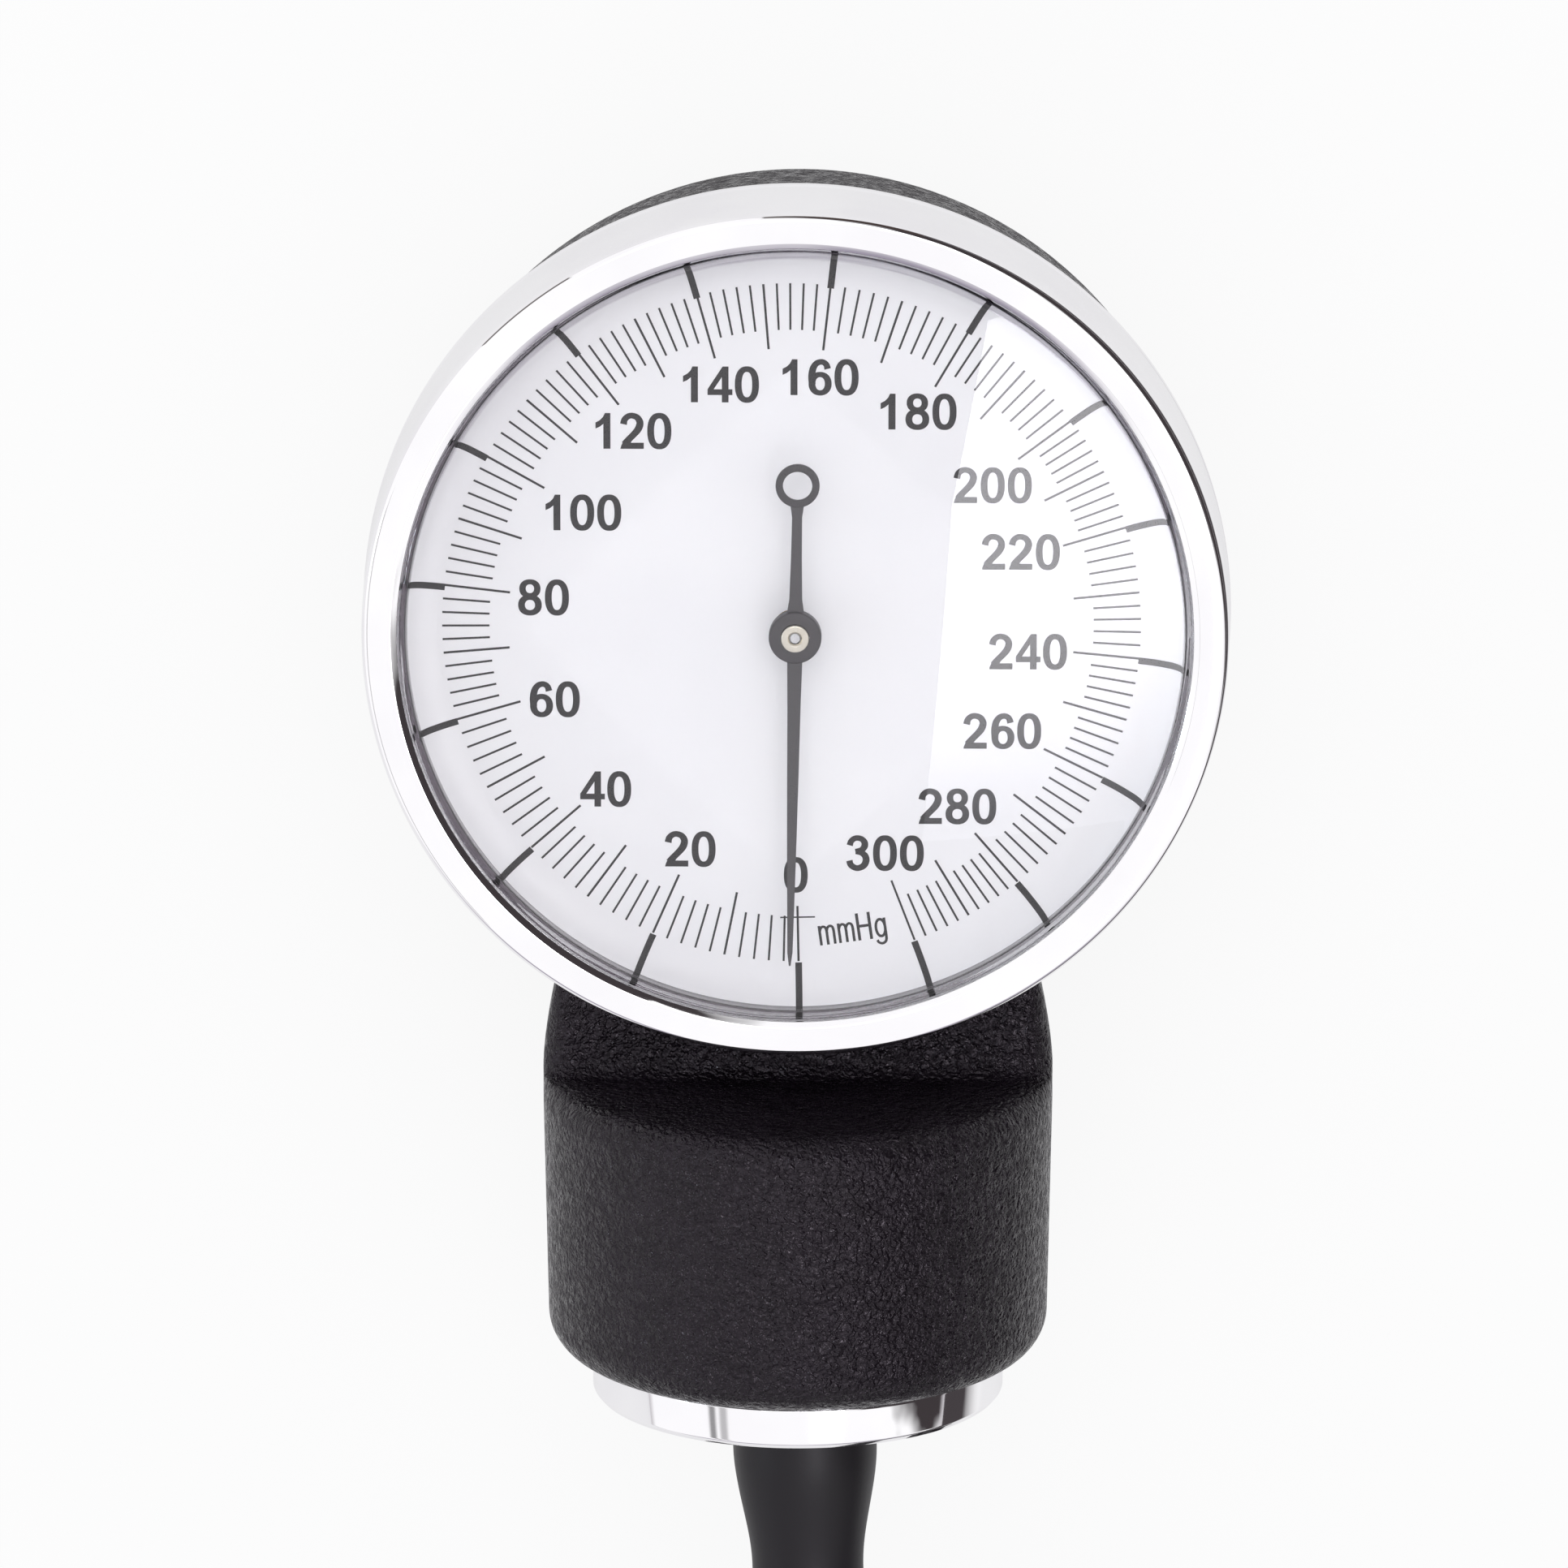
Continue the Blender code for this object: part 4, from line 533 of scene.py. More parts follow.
def hose_line():
    """The hose's middle line: a soft bend aside and back, a coil that winds outwards, and a straight end."""
    leave = Vector((0, DIAL_Y + HOSE_LEAVE, 0))
    growth = COIL_PITCH / (2 * pi)
    coil = []
    count = 72
    for step in range(count + 1):
        angle = 2 * pi * COIL_TURNS * step / count
        radius = COIL_INNER_RADIUS + growth * angle
        coil.append(COIL_CENTRE - Vector((radius * cos(angle), radius * sin(angle), 0)))
    joining = Vector((-growth, -COIL_INNER_RADIUS, 0)).normalized()
    heading = Vector((radius * sin(angle) - growth * cos(angle),
                      -radius * cos(angle) - growth * sin(angle), 0))
    way = (coil[0] - leave).length
    aside, before = leave - Vector((0, way * 0.35, 0)), coil[0] - joining * way * 0.495
    points = [Vector((0, DIAL_Y + HOSE_START, 0))]
    for step in range(30):
        s = step / 30
        r = 1 - s
        points.append(leave * r ** 3 + aside * 3 * r * r * s + before * 3 * r * s * s + coil[0] * s ** 3)
    points += coil + [coil[-1] + heading.normalized() * COIL_END]
    steps = [0] + [(b - a).length for a, b in zip(points, points[1:])]
    left, travelled = sum(steps), -(points[1] - points[0]).length
    for point, step in zip(points, steps):
        travelled += step
        left -= step
        fall = ease(max(0, min(1, travelled / HOSE_FALL)))
        rise = ease(max(0, min(1, 1 - (left - COIL_END) / HOSE_RISE)))
        point.z = AXIS + (4 * MM - AXIS) * fall + 0.95 * MM * rise
    return points


def tube_along(line, radii, sides=40):
    """A tube with closed ends and a radius for each point. Its rings keep one side up, so it has no twist."""
    shape = bmesh.new()
    rings = []
    for number, (point, radius) in enumerate(zip(line, radii)):
        before, after = line[max(0, number - 1)], line[min(len(line) - 1, number + 1)]
        ahead = (after - before).normalized()
        side = ahead.cross(Vector((0, 0, 1))).normalized()
        up = side.cross(ahead)
        rings.append([shape.verts.new(point + side * radius * cos(a) + up * radius * sin(a))
                      for a in (2 * pi * k / sides for k in range(sides))])
    for low, high in zip(rings, rings[1:]):
        bridge(shape, low, high)
    shape.faces.new(rings[0])
    shape.faces.new(rings[-1][::-1])
    return shape


def make_hose():
    """One tube from its wide mouth, which is stretched over the stem, to the connector."""
    wide, mouth = 5.1 * MM, CAP_FACE - 0.8 * MM
    bend, slim = CAP_FACE - 4.4 * MM, CAP_FACE - 13.4 * MM
    lip = ((0.45, 0), (0.3, 0.02), (0.12, 0.13), (0.02, 0.32), (0, 0.5))
    flare = [(wide - inward * MM, mouth - down * MM) for inward, down in lip]
    for step in range(25):
        share = step / 24
        flare.append((wide - (wide - HOSE_RADIUS) * ease(share), bend + (slim - bend) * share))
    line = hose_line()
    radii = [radius for radius, _ in flare] + [HOSE_RADIUS] * (len(line) - 1)
    line = [Vector((0, DIAL_Y + place, AXIS)) for _, place in flare] + line[1:]
    gone = 0
    straight = [point.copy() for point in line]
    for before, here, point in zip(straight[:1] + straight, straight, line):
        gone += (here - before).length
        aside = 0.42 + 0.33 * min(1, gone / (14 * MM))
        point.x += aside * MM * (1 - ease(max(0, min(1, gone / (50 * MM) - 0.3))))
    hose = dressed("hose", mesh_of(tube_along(line, radii)), HOSE,
                   replaced=["hose_flared_end", "hose_run", "hose_coil"], sharp=50)
    fitting = make_luer(line[-1], (line[-1] - line[-2]).normalized())
    length = sum((b - a).length for a, b in zip(line, line[1:]))


def make_luer(end, heading):
    """Luer lock connector: a flange against the hose, a ribbed skirt and a tapered spigot inside it."""
    outline = filleted([
        (1.1, 0.0, 0), (4.3, 0.0, 0.25), (4.3, 1.5, 0.25), (3.2, 1.5, 0.4), (3.2, 6.5, 0.3),
        (4.4, 7.4, 0.3), (4.4, 13.5, 0.25), (3.5, 13.5, 0.15), (3.5, 7.4, 0.2), (2.24, 7.4, 0.2),
        (2.0, 15.4, 0.15), (1.1, 15.4, 0)])
    body = turned(outline, 96)
    crest = [(x * MM, y * MM) for x, y in ((4.0, -0.4), (4.75, -0.3), (4.9, 0), (4.75, 0.3), (4.0, 0.4))]
    ribs = []
    for number in range(8):
        turn = Matrix.Rotation(2 * pi * (number + 0.5) / 8, 3, "Z").to_quaternion()
        ribs.append((ADD, moved(plate(crest, 7.9 * MM, 13.0 * MM), turn=turn)))
    mesh = combined(body, ribs)
    turn = heading.to_track_quat("Z", "X")
    return dressed("luer_fitting", mesh, NYLON, replaced=["luer_connector"],
                   at=end + heading * 0.05 * MM, turn=turn)


# Case

BASE_RADIUS = 17.9 * MM
NECK_TOP = -15.0 * MM
DRUM_FLOOR = DRUM_BACK + 2.2 * MM
DRUM_BORE = 25.2 * MM
LEDGE = 23.9 * MM
RIM_BORE = 27.55 * MM
RIM_RADIUS = 29.05 * MM


def case_section(middle, half_width, back_depth, front_radius, front, sides):
    """One ring of the case's neck and base, in X and Z about the base's axis. The neck has a flat front."""
    corner = 2.0 * MM
    ring = []
    for side in range(sides):
        angle = 2 * pi * (side + 0.5) / sides
        x, z = cos(angle), sin(angle)
        if z < 0:
            ring.append(Vector((half_width * x, middle, AXIS + back_depth * z)))
            continue
        high = front_radius * z
        wide = x * (half_width + (front_radius - half_width) * ease(min(1, z * 2)))
        if front:
            inside = min(1, front_radius * (1 - abs(x)) / corner)
            edge = front - 0.2 * MM * x * x - corner + corner * sqrt(1 - (1 - inside) ** 2)
            high = min(high, edge)
        ring.append(Vector((wide, middle, AXIS + high)))
    return ring


def case_rings(sides):
    """The rings from the foot's rounded edge over the base's shoulder and up the neck into the drum."""
    base = BASE_RADIUS
    foot, shoulder, hollow = 3.0 * MM, 1.9 * MM, 1.6 * MM
    rings = []
    for step in range(13):
        angle = pi / 2 * step / 12
        radius = base - 0.3 * MM - foot * (1 - sin(angle))
        middle = DIAL_Y + BASE_FOOT + foot * (1 - cos(angle))
        rings.append(case_section(middle, radius, radius, radius, None, sides))
    for step in range(9):
        angle = pi / 2 * step / 8
        up = BASE_TOP - 0.2 * MM - shoulder * (1 - sin(angle))
        rings.append(case_section(DIAL_Y + up, base, base, base - shoulder * (1 - cos(angle)), None, sides))
    back_top = AXIS - DRUM_BACK - 0.15 * MM
    for step in range(37):
        share = (step / 36) ** 1.7
        up = BASE_TOP + (NECK_TOP - BASE_TOP) * share
        narrow = max(0, (up - BASE_TOP - 0.6 * MM) / (NECK_TOP - BASE_TOP - 0.6 * MM))
        half = base - 4.8 * MM * narrow * sqrt(narrow)
        back = base + (back_top - base) * ease(min(1, share * 1.5))
        left = max(0, 1 - (up - BASE_TOP) / hollow)
        front = 2.0 * MM + hollow * (1 - sqrt(1 - left * left))
        rings.append(case_section(DIAL_Y + up, half, back, base, front, sides))
    return rings


def make_case():
    """Base, neck and drum in one moulding, hollow, with a flange behind the bezel."""
    sides = 144
    loft = bmesh.new()
    rings = [[loft.verts.new(point) for point in ring] for ring in case_rings(sides)]
    for low, high in zip(rings, rings[1:]):
        bridge(loft, low, high)
    for ring in (rings[0][::-1], rings[-1]):
        middle = loft.verts.new((0, ring[0].co.y, AXIS))
        for side in range(sides):
            loft.faces.new((ring[side], ring[(side + 1) % sides], middle))
    bmesh.ops.triangulate(loft, faces=[face for face in loft.faces if len(face.verts) > 3])
    here = (0, DIAL_Y, 0)
    fillet = arc((25.5 * MM, DRUM_BACK + 2.5 * MM), 2.5 * MM, -pi / 2, 0, 12)
    drum = [(0, DRUM_BACK)] + fillet + [
        (28.0 * MM, FLANGE_BOTTOM), (RIM_RADIUS, FLANGE_BOTTOM), (RIM_RADIUS, FLANGE_TOP),
        (RIM_BORE, FLANGE_TOP), (RIM_BORE, LEDGE), (DRUM_BORE, LEDGE), (DRUM_BORE, DRUM_FLOOR),
        (0, DRUM_FLOOR)]
    room = laid(rod(13.6 * MM, BASE_FOOT - 1.0 * MM, BASE_TOP - 2.2 * MM))
    low = Vector((-4.5 * MM, DIAL_Y + BASE_TOP, 12.3 * MM))
    high = Vector((4.5 * MM, DIAL_Y - 23.0 * MM, 18.9 * MM))
    channel = block((low + high) / 2, high - low)
    mesh = combined(loft, [
        (CUT, moved(rod(26.6 * MM, DRUM_BACK + 1.1 * MM, BEZEL_FRONT, 224), here)),
        (ADD, moved(turned(drum, 224), here)),
        (CUT, room), (CUT, channel),
        (CUT, laid(rod(1.85 * MM, BASE_TOP - 3.2 * MM, BASE_TOP + 1.0 * MM, 48)))])
    dressed("case_shell", mesh, SHELL, replaced=["case"], sharp=42)


# Bezel, gasket, lens and dial

def headed(outline, sides, aside=0):
    """An outline turned about the dial's axis, or about one beside it."""
    return mesh_of(moved(turned(outline, sides), (aside, DIAL_Y, 0)))


def make_bezel():
    """Rolled ring with a soft front edge, a lip over the lens and a bead where it grips the flange."""
    outline = filleted([
        (27.3, 30.85, 0.05), (27.3, 31.13, 0.06), (27.74, 31.4, 0.2), (29.7, 31.4, 0.6), (29.97, 23.35, 0.2),
        (29.87, 23.15, 0.12), (30.0, 22.9, 0.25), (30.0, 22.0, 0.4), (28.05, 22.0, 0.1), (28.05, 22.75, 0),
        (29.1, 22.75, 0), (29.1, 30.85, 0)], 7)
    dressed("bezel", headed(outline, 288), CHROME, replaced=["bezel_ring"], sharp=40)


def make_gasket():
    """A square rubber ring between dial and lens."""
    outline = filleted([(27.65, 29.4, 0.1), (28.95, 29.4, 0.1), (28.95, 29.8, 0.1), (27.65, 29.8, 0.1)], 3)
    dressed("lens_seal", headed(outline, 224), SEAL, replaced=["lens_gasket"])


def make_lens():
    """A shallow dome that rolls over at its edge to a flat rim, with a short skirt under it."""
    rise, thick, rim = 3.0 * MM, 1.25 * MM, 0.95 * MM
    roll, edge = 0.62 * MM, 27.22 * MM
    shoulder = 0.42 * MM
    brim = edge - roll
    ball = (brim ** 2 + (rise - shoulder) ** 2) / (2 * (rise - shoulder))
    half = acos((ball - rise + shoulder) / ball)
    angles = [half * step / 40 for step in range(41)]
    outer = [(ball * sin(a), LENS_TOP + rise - ball * (1 - cos(a))) for a in angles]
    tilt = pi / 2 - half
    low = [(brim + roll * (cos(a) - cos(tilt)) / (1 - cos(tilt)), LENS_TOP + shoulder * sin(a) / sin(tilt))
           for a in (tilt * (1 - s / 8) for s in range(1, 9))]
    inner = [(r * 0.975, h - thick + (thick - rim) * (r / edge) ** 2) for r, h in outer]
    wall = [(26.74, -2.2), (26.74, -0.76), (26.68, -0.64), (26.5, -0.57)]
    skirt = [(29.05, 0.0), (29.05, -0.95), (27.0, -0.95), (26.95, -1.95)] + wall
    outline = outer + low + [(r * MM, LENS_TOP + h * MM) for r, h in skirt] + inner[::-1]
    glass = dressed("lens_dome", headed(outline, 224), LENS, replaced=["lens"], sharp=50)
    glass.visible_shadow = False


DIAL_FLAT = 24.0 * MM
DIAL_CURVE = 3.1 * MM
DIAL_RISE = DIAL_FLANGE - DIAL_FACE
DIAL_SHIFT = -0.3 * MM
DIAL_HOLE = 1.2 * MM
DIAL_EDGE = 28.7 * MM


def rim_point(share, lift=0.0):
    """A point on the dial's upturned rim, as (radius, height), lifted off its surface."""
    angle = pi / 2 * share
    out, up = DIAL_CURVE * sin(angle), DIAL_RISE * (1 - cos(angle))
    slope = Vector((DIAL_CURVE * cos(angle), DIAL_RISE * sin(angle))).normalized()
    return DIAL_FLAT + out - slope.y * lift, DIAL_FACE + up + slope.x * lift


def make_dial():
    """A thin card with a hole for the arbor. Its rim curves up to a flat edge under the gasket."""
    thick = 0.4 * MM
    face = [rim_point(s / 20) for s in range(21)]
    back = [rim_point(s / 20, -thick) for s in range(20)]
    outline = [(DIAL_HOLE, DIAL_FACE)] + face
    outline += [(DIAL_EDGE, DIAL_FLANGE), (DIAL_EDGE, DIAL_FLANGE - thick), (27.5 * MM, DIAL_FLANGE - thick)]
    outline += back[::-1] + [(DIAL_HOLE, DIAL_FACE - thick)]
    dressed("dial_card", headed(outline, 256, DIAL_SHIFT), ENAMEL, replaced=["dial"],
            sharp=50)


# Dial print. Angles run clockwise from straight down, as the scale does

PRINT_RISE = 0.15 * MM
PRINT_TOP = DIAL_FACE + 0.012 * MM
PRINT_LOW = DIAL_FACE - 0.01 * MM
LINE_END = 23.95 * MM
FINE_START, FINE_WIDTH = 20.7 * MM, 0.14 * MM
MIDDLE_START, MIDDLE_WIDTH = 19.4 * MM, 0.155 * MM
BOLD_WIDTH = 0.46 * MM
SCALE_ZERO = radians(-1.2)
MARK_DEGREES = (0, 24.7, 49.6, 74.7, 97.7, 120.7, 143.8, 165.6,
                187.6, 211.5, 234.1, 254.3, 276.7, 297.9, 320.6, 340.4)


def around(angle, radius, across=0.0):
    """A point of the dial, at a radius on an angle and moved across it."""
    x = -radius * sin(angle) + across * cos(angle)
    y = -radius * cos(angle) - across * sin(angle)
    return x + DIAL_SHIFT, DIAL_Y + y


def bar(shape, angle, inner, outer, width):
    """A printed line along a radius."""
    corners = []
    for radius, side in ((inner, -1), (outer, -1), (outer, 1), (inner, 1)):
        x, y = around(angle, radius, side * width / 2)
        corners.append((x, y + PRINT_RISE))
    join(shape, plate(corners, PRINT_LOW, PRINT_TOP))


def rim_mark(shape, angle, width):
    """A bold mark that climbs the dial's upturned rim."""
    rows = []
    for step in range(15):
        share = step / 14 * 0.97
        row = []
        for lift, side in ((-0.01, -1), (0.02, -1), (0.02, 1), (-0.01, 1)):
            radius, height = rim_point(share, lift * MM)
            x, y = around(angle, radius - (0.1 * MM if step == 0 else 0), side * width / 2)
            row.append(shape.verts.new((x, y, height)))
        rows.append(row)
    for low, high in zip(rows, rows[1:]):
        bridge(shape, low, high)
    shape.faces.new(rows[0][::-1])
    shape.faces.new(rows[-1])


def make_scale():
    """Ten fine lines to each bold mark, the fifth one longer, and a small cross at zero."""
    fine = bmesh.new()
    bold = bmesh.new()
    for number, (start, end) in enumerate(zip(MARK_DEGREES, MARK_DEGREES[1:])):
        for step in range(10):
            angle = SCALE_ZERO + radians(start + (end - start) * step / 10)
            if number == 0 and step == 0:
                continue
            start_radius, width = (FINE_START, FINE_WIDTH) if step % 5 else (MIDDLE_START, MIDDLE_WIDTH)
            bar(fine, angle, start_radius, LINE_END, width)
    bar(fine, SCALE_ZERO + radians(MARK_DEGREES[-1]), MIDDLE_START, LINE_END, FINE_WIDTH)
    bar(fine, SCALE_ZERO, 20.0 * MM, LINE_END, 0.15 * MM)
    for degrees_on in MARK_DEGREES:
        rim_mark(bold, SCALE_ZERO + radians(degrees_on), BOLD_WIDTH)
    corners = ((-1.2, 0), (1.2, 0), (1.2, 0.1), (-1.2, 0.1))
    cross = [around(SCALE_ZERO, 20.6 * MM + out * MM, across * MM) for across, out in corners]
    join(fine, plate(cross, PRINT_LOW, PRINT_TOP + 0.002 * MM))
    dressed("scale_fine", mesh_of(fine), INK)
    dressed("scale_bold", mesh_of(bold), INK, sharp=50)


# Figures are drawn in a box one unit high, as rounded rings, strokes and straight-sided shapes

def ring_shape(x, y, wide, high, inner_wide, inner_high, power=2.35):
    """A figure's closed loop: a rounded ring about (x, y)."""
    shape = bmesh.new()
    loops = []
    for a, b in ((wide, high), (inner_wide, inner_high)):
        loop = []
        for step in range(48):
            t = 2 * pi * step / 48
            c, s = cos(t), sin(t)
            loop.append((x + a * abs(c) ** (2 / power) * (1 if c >= 0 else -1),
                         y + b * abs(s) ** (2 / power) * (1 if s >= 0 else -1)))
        loops.append(loop)
    corners = [[[shape.verts.new((px, py, level)) for px, py in loop] for level in (0, 1)] for loop in loops]
    (out_low, out_high), (in_low, in_high) = corners
    for k in range(48):
        n = (k + 1) % 48
        shape.faces.new((out_low[k], out_low[n], out_high[n], out_high[k]))
        shape.faces.new((in_low[n], in_low[k], in_high[k], in_high[n]))
        shape.faces.new((out_high[k], out_high[n], in_high[n], in_high[k]))
        shape.faces.new((out_low[n], out_low[k], in_low[k], in_low[n]))
    return shape


def stroke_shape(path):
    """A stroke along a soft line of (x, y, width) points, with square ends."""
    line = smooth_line([Vector(p) for p in path], 5)
    left, right = [], []
    for number, point in enumerate(line):
        before, after = line[max(0, number - 1)], line[min(len(line) - 1, number + 1)]
        ahead = Vector((after.x - before.x, after.y - before.y)).normalized()
        side = Vector((-ahead.y, ahead.x)) * point.z / 2
        left.append((point.x + side.x, point.y + side.y))
        right.append((point.x - side.x, point.y - side.y))
    return plate(right + left[::-1], 0, 1)


def flat_shape(corners):
    """A straight-sided part of a figure."""
    return plate(corners, 0, 1)


FIGURES = {
    "0": (ring_shape(0.35, 0.5, 0.345, 0.51, 0.15, 0.355), []),
    "1": (flat_shape([
        (0.3, 0), (0.5, 0), (0.5, 1.0), (0.345, 1.0), (0.29, 0.89), (0.2, 0.8), (0.075, 0.735),
        (0.075, 0.565), (0.2, 0.62), (0.3, 0.7)]), []),
    "2": (stroke_shape([
        (0.1, 0.69, 0.2), (0.135, 0.82, 0.18), (0.235, 0.91, 0.165), (0.355, 0.93, 0.16),
        (0.49, 0.88, 0.175), (0.565, 0.77, 0.195), (0.565, 0.66, 0.205), (0.505, 0.53, 0.2),
        (0.38, 0.39, 0.185), (0.25, 0.26, 0.19), (0.15, 0.12, 0.24)]), [
            (ADD, flat_shape([(0.01, 0), (0.68, 0), (0.68, 0.17), (0.075, 0.17), (0.03, 0.08)]))]),
    "3": (stroke_shape([
        (0.11, 0.72, 0.18), (0.145, 0.83, 0.17), (0.235, 0.91, 0.16), (0.35, 0.93, 0.155),
        (0.47, 0.89, 0.165), (0.54, 0.79, 0.19), (0.53, 0.68, 0.19), (0.44, 0.585, 0.165),
        (0.27, 0.545, 0.145)]), [
            (ADD, stroke_shape([
                (0.28, 0.54, 0.14), (0.44, 0.51, 0.16), (0.555, 0.415, 0.19), (0.58, 0.28, 0.2),
                (0.51, 0.14, 0.185), (0.35, 0.07, 0.165), (0.22, 0.1, 0.17), (0.13, 0.18, 0.18),
                (0.1, 0.285, 0.185)]))]),
    "4": (flat_shape([
        (0.41, 0), (0.6, 0), (0.6, 0.205), (0.71, 0.205), (0.71, 0.365), (0.6, 0.365), (0.6, 1.0),
        (0.43, 1.0), (0.0, 0.365), (0.0, 0.205), (0.41, 0.205)]), [
            (CUT, flat_shape([(0.41, 0.365), (0.41, 0.71), (0.175, 0.365)]))]),
    "6": (ring_shape(0.37, 0.32, 0.33, 0.33, 0.135, 0.185, 2.15), [
        (ADD, stroke_shape([
            (0.585, 0.735, 0.19), (0.555, 0.84, 0.175), (0.485, 0.91, 0.16), (0.385, 0.93, 0.155),
            (0.265, 0.885, 0.17), (0.175, 0.76, 0.19), (0.135, 0.58, 0.2), (0.135, 0.42, 0.2),
            (0.15, 0.3, 0.19)]))]),
    "8": (ring_shape(0.35, 0.285, 0.34, 0.295, 0.145, 0.145, 2.2), [
        (ADD, ring_shape(0.35, 0.745, 0.305, 0.265, 0.12, 0.125, 2.2))]),
    "m": (flat_shape([(0.06, 0), (0.16, 0), (0.16, 0.72), (0.06, 0.72)]), [
        (ADD, stroke_shape([
            (0.11, 0.5, 0.1), (0.16, 0.62, 0.095), (0.25, 0.675, 0.09), (0.34, 0.63, 0.095),
            (0.37, 0.5, 0.1), (0.37, 0.25, 0.1), (0.37, 0.0, 0.1)])),
        (ADD, stroke_shape([
            (0.37, 0.5, 0.1), (0.42, 0.62, 0.095), (0.51, 0.675, 0.09), (0.6, 0.63, 0.095),
            (0.63, 0.5, 0.1), (0.63, 0.25, 0.1), (0.63, 0.0, 0.1)]))]),
    "H": (flat_shape([(0.06, 0), (0.17, 0), (0.17, 1.0), (0.06, 1.0)]), [
        (ADD, flat_shape([(0.12, 0.47), (0.55, 0.47), (0.55, 0.57), (0.12, 0.57)])),
        (ADD, flat_shape([(0.5, 0), (0.61, 0), (0.61, 1.0), (0.5, 1.0)]))]),
    "g": (ring_shape(0.27, 0.37, 0.22, 0.36, 0.12, 0.26, 2.1), [
        (ADD, stroke_shape([
            (0.44, 0.72, 0.1), (0.44, 0.4, 0.1), (0.44, 0.02, 0.1), (0.4, -0.14, 0.1),
            (0.27, -0.21, 0.09), (0.14, -0.16, 0.09), (0.09, -0.07, 0.1)]))]),
}
# How far the next sign starts after each of these, and after a figure
ADVANCE = {"m": 0.72, "H": 0.67, "g": 0.52}
FIGURE_ADVANCE = 0.775
FIGURE_HEIGHT = 2.5 * MM
FIGURE_WIDTH_SHARE = 0.955
# Middle of each number, from the dial's centre, in millimetres
NUMBER_PLACES = (
    ("0", 0.01, -17.62), ("20", -7.26, -15.81), ("40", -13.06, -11.56), ("60", -16.57, -5.20),
    ("80", -17.28, 2.00), ("100", -14.60, 7.99), ("120", -11.16, 13.73), ("140", -5.18, 17.01),
    ("160", 1.61, 17.54), ("180", 8.29, 15.16), ("200", 13.45, 10.02), ("220", 15.39, 5.34),
    ("240", 15.92, -1.69), ("260", 14.18, -7.32), ("280", 11.12, -12.69), ("300", 6.15, -16.04),
)


def lettering(shape, meshes, words, x, y, height, width_share, lean=0.0):
    """Adds a word to a shape, with its middle at a place from the dial's centre."""
    ends = []
    pen = 0.0
    for sign in words:
        ends.append(pen)
        pen += ADVANCE.get(sign, FIGURE_ADVANCE)
    total = pen - 0.07
    turn = Matrix.Rotation(lean, 4, "Z")
    for sign, start in zip(words, ends):
        piece = bmesh.new()
        piece.from_mesh(meshes[sign])
        size = Matrix.Diagonal((height * width_share, height, PRINT_TOP - PRINT_LOW, 1))
        to_middle = Matrix.Translation((start - total / 2, -0.5, 0))
        piece.transform(Matrix.Translation((x, DIAL_Y + y, PRINT_LOW)) @ turn @ size @ to_middle)
        join(shape, piece)


def make_figures():
    """The numbers around the scale, and the unit below the pointer's tip."""
    meshes = {sign: combined(base, steps) for sign, (base, steps) in FIGURES.items()}
    shape = bmesh.new()
    for words, x, y in NUMBER_PLACES:
        lettering(shape, meshes, words, x * MM, y * MM, FIGURE_HEIGHT, FIGURE_WIDTH_SHARE)
    dressed("dial_numbers", mesh_of(shape), INK)
    unit = bmesh.new()
    lettering(unit, meshes, "mmHg", 3.8 * MM, -21.4 * MM, 1.95 * MM, 0.95, radians(8))
    dressed("dial_unit", mesh_of(unit), INK)


# Pointer

def make_pointer():
    """Needle, hub and tail ring in one lacquered piece, bevelled along its edges."""
    thick = 0.3 * MM
    low, high = BLADE_BOTTOM, BLADE_BOTTOM + thick
    side = [(0.52, -1.5), (0.45, -5.0), (0.39, -10.0), (0.3, -16.0), (0.18, -22.4), (0.06, -23.35)]
    tail = [(0.62, 1.4), (0.44, 2.6), (0.37, 5.5), (0.34, 8.4), (0.48, 9.4)]
    half = side[::-1] + tail
    blade = half + [(-x, y) for x, y in half[::-1]]
    base = plate([(x * MM, y * MM) for x, y in blade], low, high)
    top = HUB_TOP / MM
    hub = turned(filleted([(0, top - 1.0, 0), (1.8, top - 1.0, 0.08), (1.8, top, 0.14), (0, top, 0)], 4), 96)
    middle = (low + high) / 2 / MM
    ring = turned(filleted([(1.0, middle - 0.2, 0.06), (1.5, middle - 0.2, 0.06), (1.5, middle + 0.2, 0.08),
                            (1.0, middle + 0.2, 0.08)], 3), 96)
    mesh = combined(base, [
        (ADD, moved(ring, (0, 10.6 * MM, 0))),
        (ADD, hub),
        (CUT, rod(1.0 * MM, HUB_TOP - 2 * MM, HUB_TOP + 2 * MM, 64))])
    turn = Matrix.Rotation(-POINTER_REST, 3, "Z").to_quaternion()
    here = (0, DIAL_Y, 0)
    pointer = dressed("pointer_needle", mesh, POINTER_PAINT, POINTER_BODY, ["pointer"],
                      at=here, turn=turn)
    bevelled(pointer, 0.05 * MM, 2)
    top = BUSH_TOP / MM
    bush = filleted([(0.39, top - 1.3, 0), (0.97, top - 1.3, 0.03), (0.97, top, 0.14), (0.52, top, 0.05),
                     (0.39, top - 0.16, 0.04)], 4)
    dressed("pointer_bush_ring", mesh_of(turned(bush, 96)), NICKEL, POINTER_BODY, ["pointer_bush"],
            at=here, turn=turn)


# Base cap

